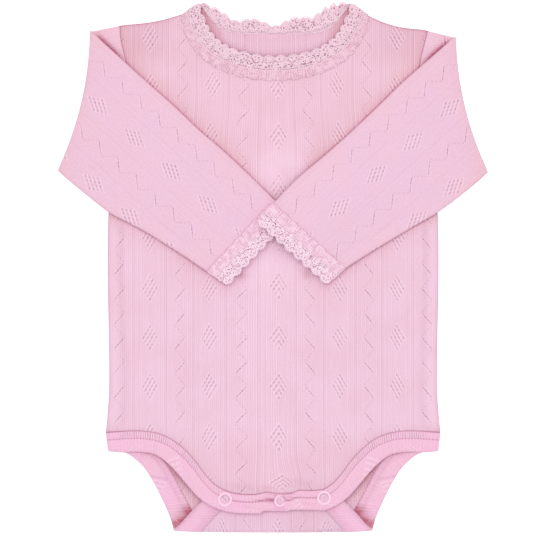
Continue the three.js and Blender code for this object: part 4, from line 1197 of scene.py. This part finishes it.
front_cut = (place_front_lace, front_lace_length, front_lace_width, front_scallops)
shell = lace_shell("front_neck_lace", *front_cut, 480, 28)
neck_edging = join_threads(shell, lace_threads(*front_cut))
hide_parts("neck_lace_front")
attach(neck_edging, "root")
front_trims.append(neck_edging)


def back_lace_width(share):
    return back_reach - scallop_rise * 0.9 + 0.0 * np.asarray(share)


def corner_shade(x):
    """Shade on the back lace where the front one closes over its ends."""
    return 0.35 * smooth((np.abs(x - neck_middle) - 42) / 10)


back_cut = (place_back_lace, back_lace_length, back_lace_width, back_scallops)
shell = lace_shell("back_neck_lace", *back_cut, 320, 16, 0.1)
back_edging = join_threads(shell, lace_threads(*back_cut, mesh=False), corner_shade)
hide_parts("neck_lace_back")
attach(back_edging, "root")
back_trims.append(back_edging)


cuff_row = 8
cuff_width = 15.4
cuff_scallops = 8


def cuff_placer(sign):
    """Places on a cuff's upper face, by share across, how far out from the lace's start, height."""
    rows = sleeve_sections[sign]
    start = section(rows[cuff_row], sign, [0.0, 1.0])
    whole = np.hypot(*(start[1] - start[0]))

    def place(share, out, height):
        shape = np.broadcast(share, out).shape
        across = np.broadcast_to(share, shape).reshape(-1)
        far = np.broadcast_to(out, shape).reshape(-1)
        plan = cuff_plan(sign, across, far)
        lift = sleeve_floor(sign, plan, across)
        inwards = np.maximum(sleeve_half - np.minimum(across, 1 - across) * whole, 0)
        drop = sleeve_half - np.sqrt(np.maximum(sleeve_half ** 2 - inwards ** 2, 0))
        high = lift + 2 * sleeve_half + 0.3 - drop + np.broadcast_to(height, shape).reshape(-1)
        return np.column_stack([plan, high]).reshape(*shape, 3)

    return place, float(whole)


def cuff_plan(sign, share, out):
    """Places across a cuff, each so far out from the line where its lace starts."""
    first, last = (section(sleeve_sections[sign][k], sign, share) for k in (cuff_row, cuff_row + 2))
    at = (out / np.hypot(*(last - first).T))[:, None]
    return first * (1 - at) + last * at


def cuff_lace_width(share):
    return cuff_width + 0.0 * np.asarray(share)


cuff_gap = 0.3


def cuff_rings(sign, across_cuff, over):
    """Rings of a cuff's mesh and painted shade sheet so far over the sleeve: places, knit places, how much
    painted shade.
    """
    rings, knits, unders = [], [], []
    share, height, face = sleeve_round(across_cuff, sleeve_half + over, 150, 30, 6, sleeve_half + cuff_gap)
    for at in np.linspace(0, 1, 25):
        wave = np.abs(np.sin(np.pi * share * cuff_scallops))
        out = cuff_width * at - sewn_wave * wave * (1 - at) + (scallop_rise * wave - shade_sheet_in) * at
        plan = cuff_plan(sign, share, out)
        lift = sleeve_floor(sign, plan, share)
        past_mesh = out - (cuff_width - free_depth)
        under = smooth(past_mesh / 0.5) * (face > 0)
        ribs = np.cos(2 * np.pi * share * across_cuff / lace_rib) * (face > 0)
        sink = (0.75 * under - 0.08 * ribs * (1 - under)) * (over > cuff_gap)
        rings.append(np.column_stack([plan, lift + 2 * sleeve_half - height - sink]))
        knits.append(np.stack([share * across_cuff, out], -1))
        unders.append(under * (1 - 0.7 * smooth((past_mesh - 3.0) / 2.0)))
    return np.array(rings), np.array(knits), np.array(unders)


# Colours of the cuff yarn, its mesh, and the painted shade under its loops.
cuff_pink = lace_finish("cuff yarn", tone(254, 225, 241), tone(231, 176, 204), tone(196, 128, 160))
for side, sign in (("left", -1), ("right", 1)):
    place_cuff, across_cuff = cuff_placer(sign)
    yarns = lace_threads(place_cuff, across_cuff, cuff_lace_width, cuff_scallops)
    loops = threads_piece(f"cuff_loops_{side}", yarns)
    loops.data.materials.append(cuff_pink)
    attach(loops, "root")
    outer, knit, shade_sheet = cuff_rings(sign, across_cuff, cuff_gap + cloth_wall)
    inner, _, _ = cuff_rings(sign, across_cuff, cuff_gap)
    cuff = cloth_piece(f"cuff_{side}", outer, inner, knit, 1 - shade_sheet, 4, True, shade_sheet * 0.85)
    cuff.data.materials.append(cuff_pink)
    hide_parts(f"cuff_lace_{side}")
    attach(cuff, "root")
    sleeves[side][2].extend([cuff, loops])

# Snaps: three ring caps of pink lacquered metal pressed through the hem, with the knit domed up in
# them. Their studs and sockets lie between hem and tab, and each pair is fastened.
snap_lacquer = bpy.data.materials.new("snap lacquer")
snap_lacquer.use_nodes = True
snap_shader = snap_lacquer.node_tree.nodes["Principled BSDF"]
snap_shader.inputs["Base Color"].default_value = tone(252, 214, 234)
snap_shader.inputs["Roughness"].default_value = 0.32
snap_shader.inputs["Coat Weight"].default_value = 0.3
snap_outer, snap_hole = 5.1, 3.2


def snap_dome(x, y, top):
    """A disc of the hem's knit, domed up inside a ring and dented where the stud holds it, with painted
    shade round the ring's rim and in the dent.
    """
    radius = (snap_hole + 0.6) * np.linspace(0, 1, 13)[:, None]
    turn = 2 * np.pi * np.arange(32) / 32
    high = top + 0.45 * (1 - (radius / snap_hole) ** 2) - 0.35 * np.exp(-(radius / 0.9) ** 2)
    high = high + 0.1 * np.cos(4 * turn) * np.exp(-((radius - 1.6) / 0.6) ** 2)
    flat_x, flat_y = x + radius * np.cos(turn), y + radius * np.sin(turn)
    dome = np.stack([flat_x, flat_y, high], -1)
    under = np.stack([flat_x, flat_y, 0 * high + top - 0.6], -1)
    knit = np.stack([flat_x + repeat_across * plain_column + 3, flat_y], -1)
    rim = 0.45 * np.exp(-((radius - snap_hole) / 0.5) ** 2) + 0 * turn
    dent = 0.2 * np.exp(-(radius / 0.8) ** 2) + 0 * turn
    return dome[::-1], under[::-1], knit[::-1], (rim + dent)[::-1]


for side, (snap_x, snap_y, lean_over) in snap_places.items():
    top = float(np.maximum(front_floor(snap_x, snap_y), double_wall + 0.3)) + double_wall
    bpy.ops.mesh.primitive_torus_add(
        major_radius=(snap_outer + snap_hole) / 2000, minor_radius=(snap_outer - snap_hole) / 2000,
        major_segments=56, minor_segments=14, location=(0, 0, 0),
    )
    ring = bpy.context.object
    ring.name = f"ring_{side}"
    for spot in ring.data.vertices:
        x, y, z = spot.co * 1000 * (1 - 0.45 * lean_over)
        z = top + 0.35 + z * 0.72 - (x + 0.6 * y) * lean_over
        spot.co = ((x + snap_x) / 1000, (y + snap_y) / 1000, z / 1000)
    bpy.ops.object.shade_smooth()
    ring.data.materials.append(snap_lacquer)
    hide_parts(f"snap_ring_{side}")
    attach(ring, "root")
    outer, inner, knit, painted_shade_and_seams = snap_dome(snap_x, snap_y, top)
    disc = cloth_piece(f"snap_cloth_{side}", outer, inner, knit, 0.0 * painted_shade_and_seams, 1, closed=True, painted_shade_and_seams=painted_shade_and_seams)
    disc.data.materials.append(sleeve_knit_finish)
    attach(disc, "root")
    front_trims.extend([ring, disc])


def tube_area(rings):
    """Area of a tube's face from its rings, in square metres."""
    rings = np.concatenate([rings, rings[:, :1]], 1) / 1000
    along = rings[1:, :-1] - rings[:-1, :-1]
    across = rings[:-1, 1:] - rings[:-1, :-1]
    return float(np.linalg.norm(np.cross(along, across), axis=-1).sum())


for panel, bottom, top, held, under, extras in (
    (back, back_bottom, top_line(back_neckline), "folded", (), back_trims),
    (front, front_bottom.T, top_line(front_neckline), "laid", ("back",), front_trims),
):
    x, y = panel_grid(bottom, top, 60, 60)
    size = (float(np.ptp(x)) / 1000, float(np.ptp(y)) / 1000)
for sleeve, rings, extras in sleeves.values():
    area = tube_area(rings)
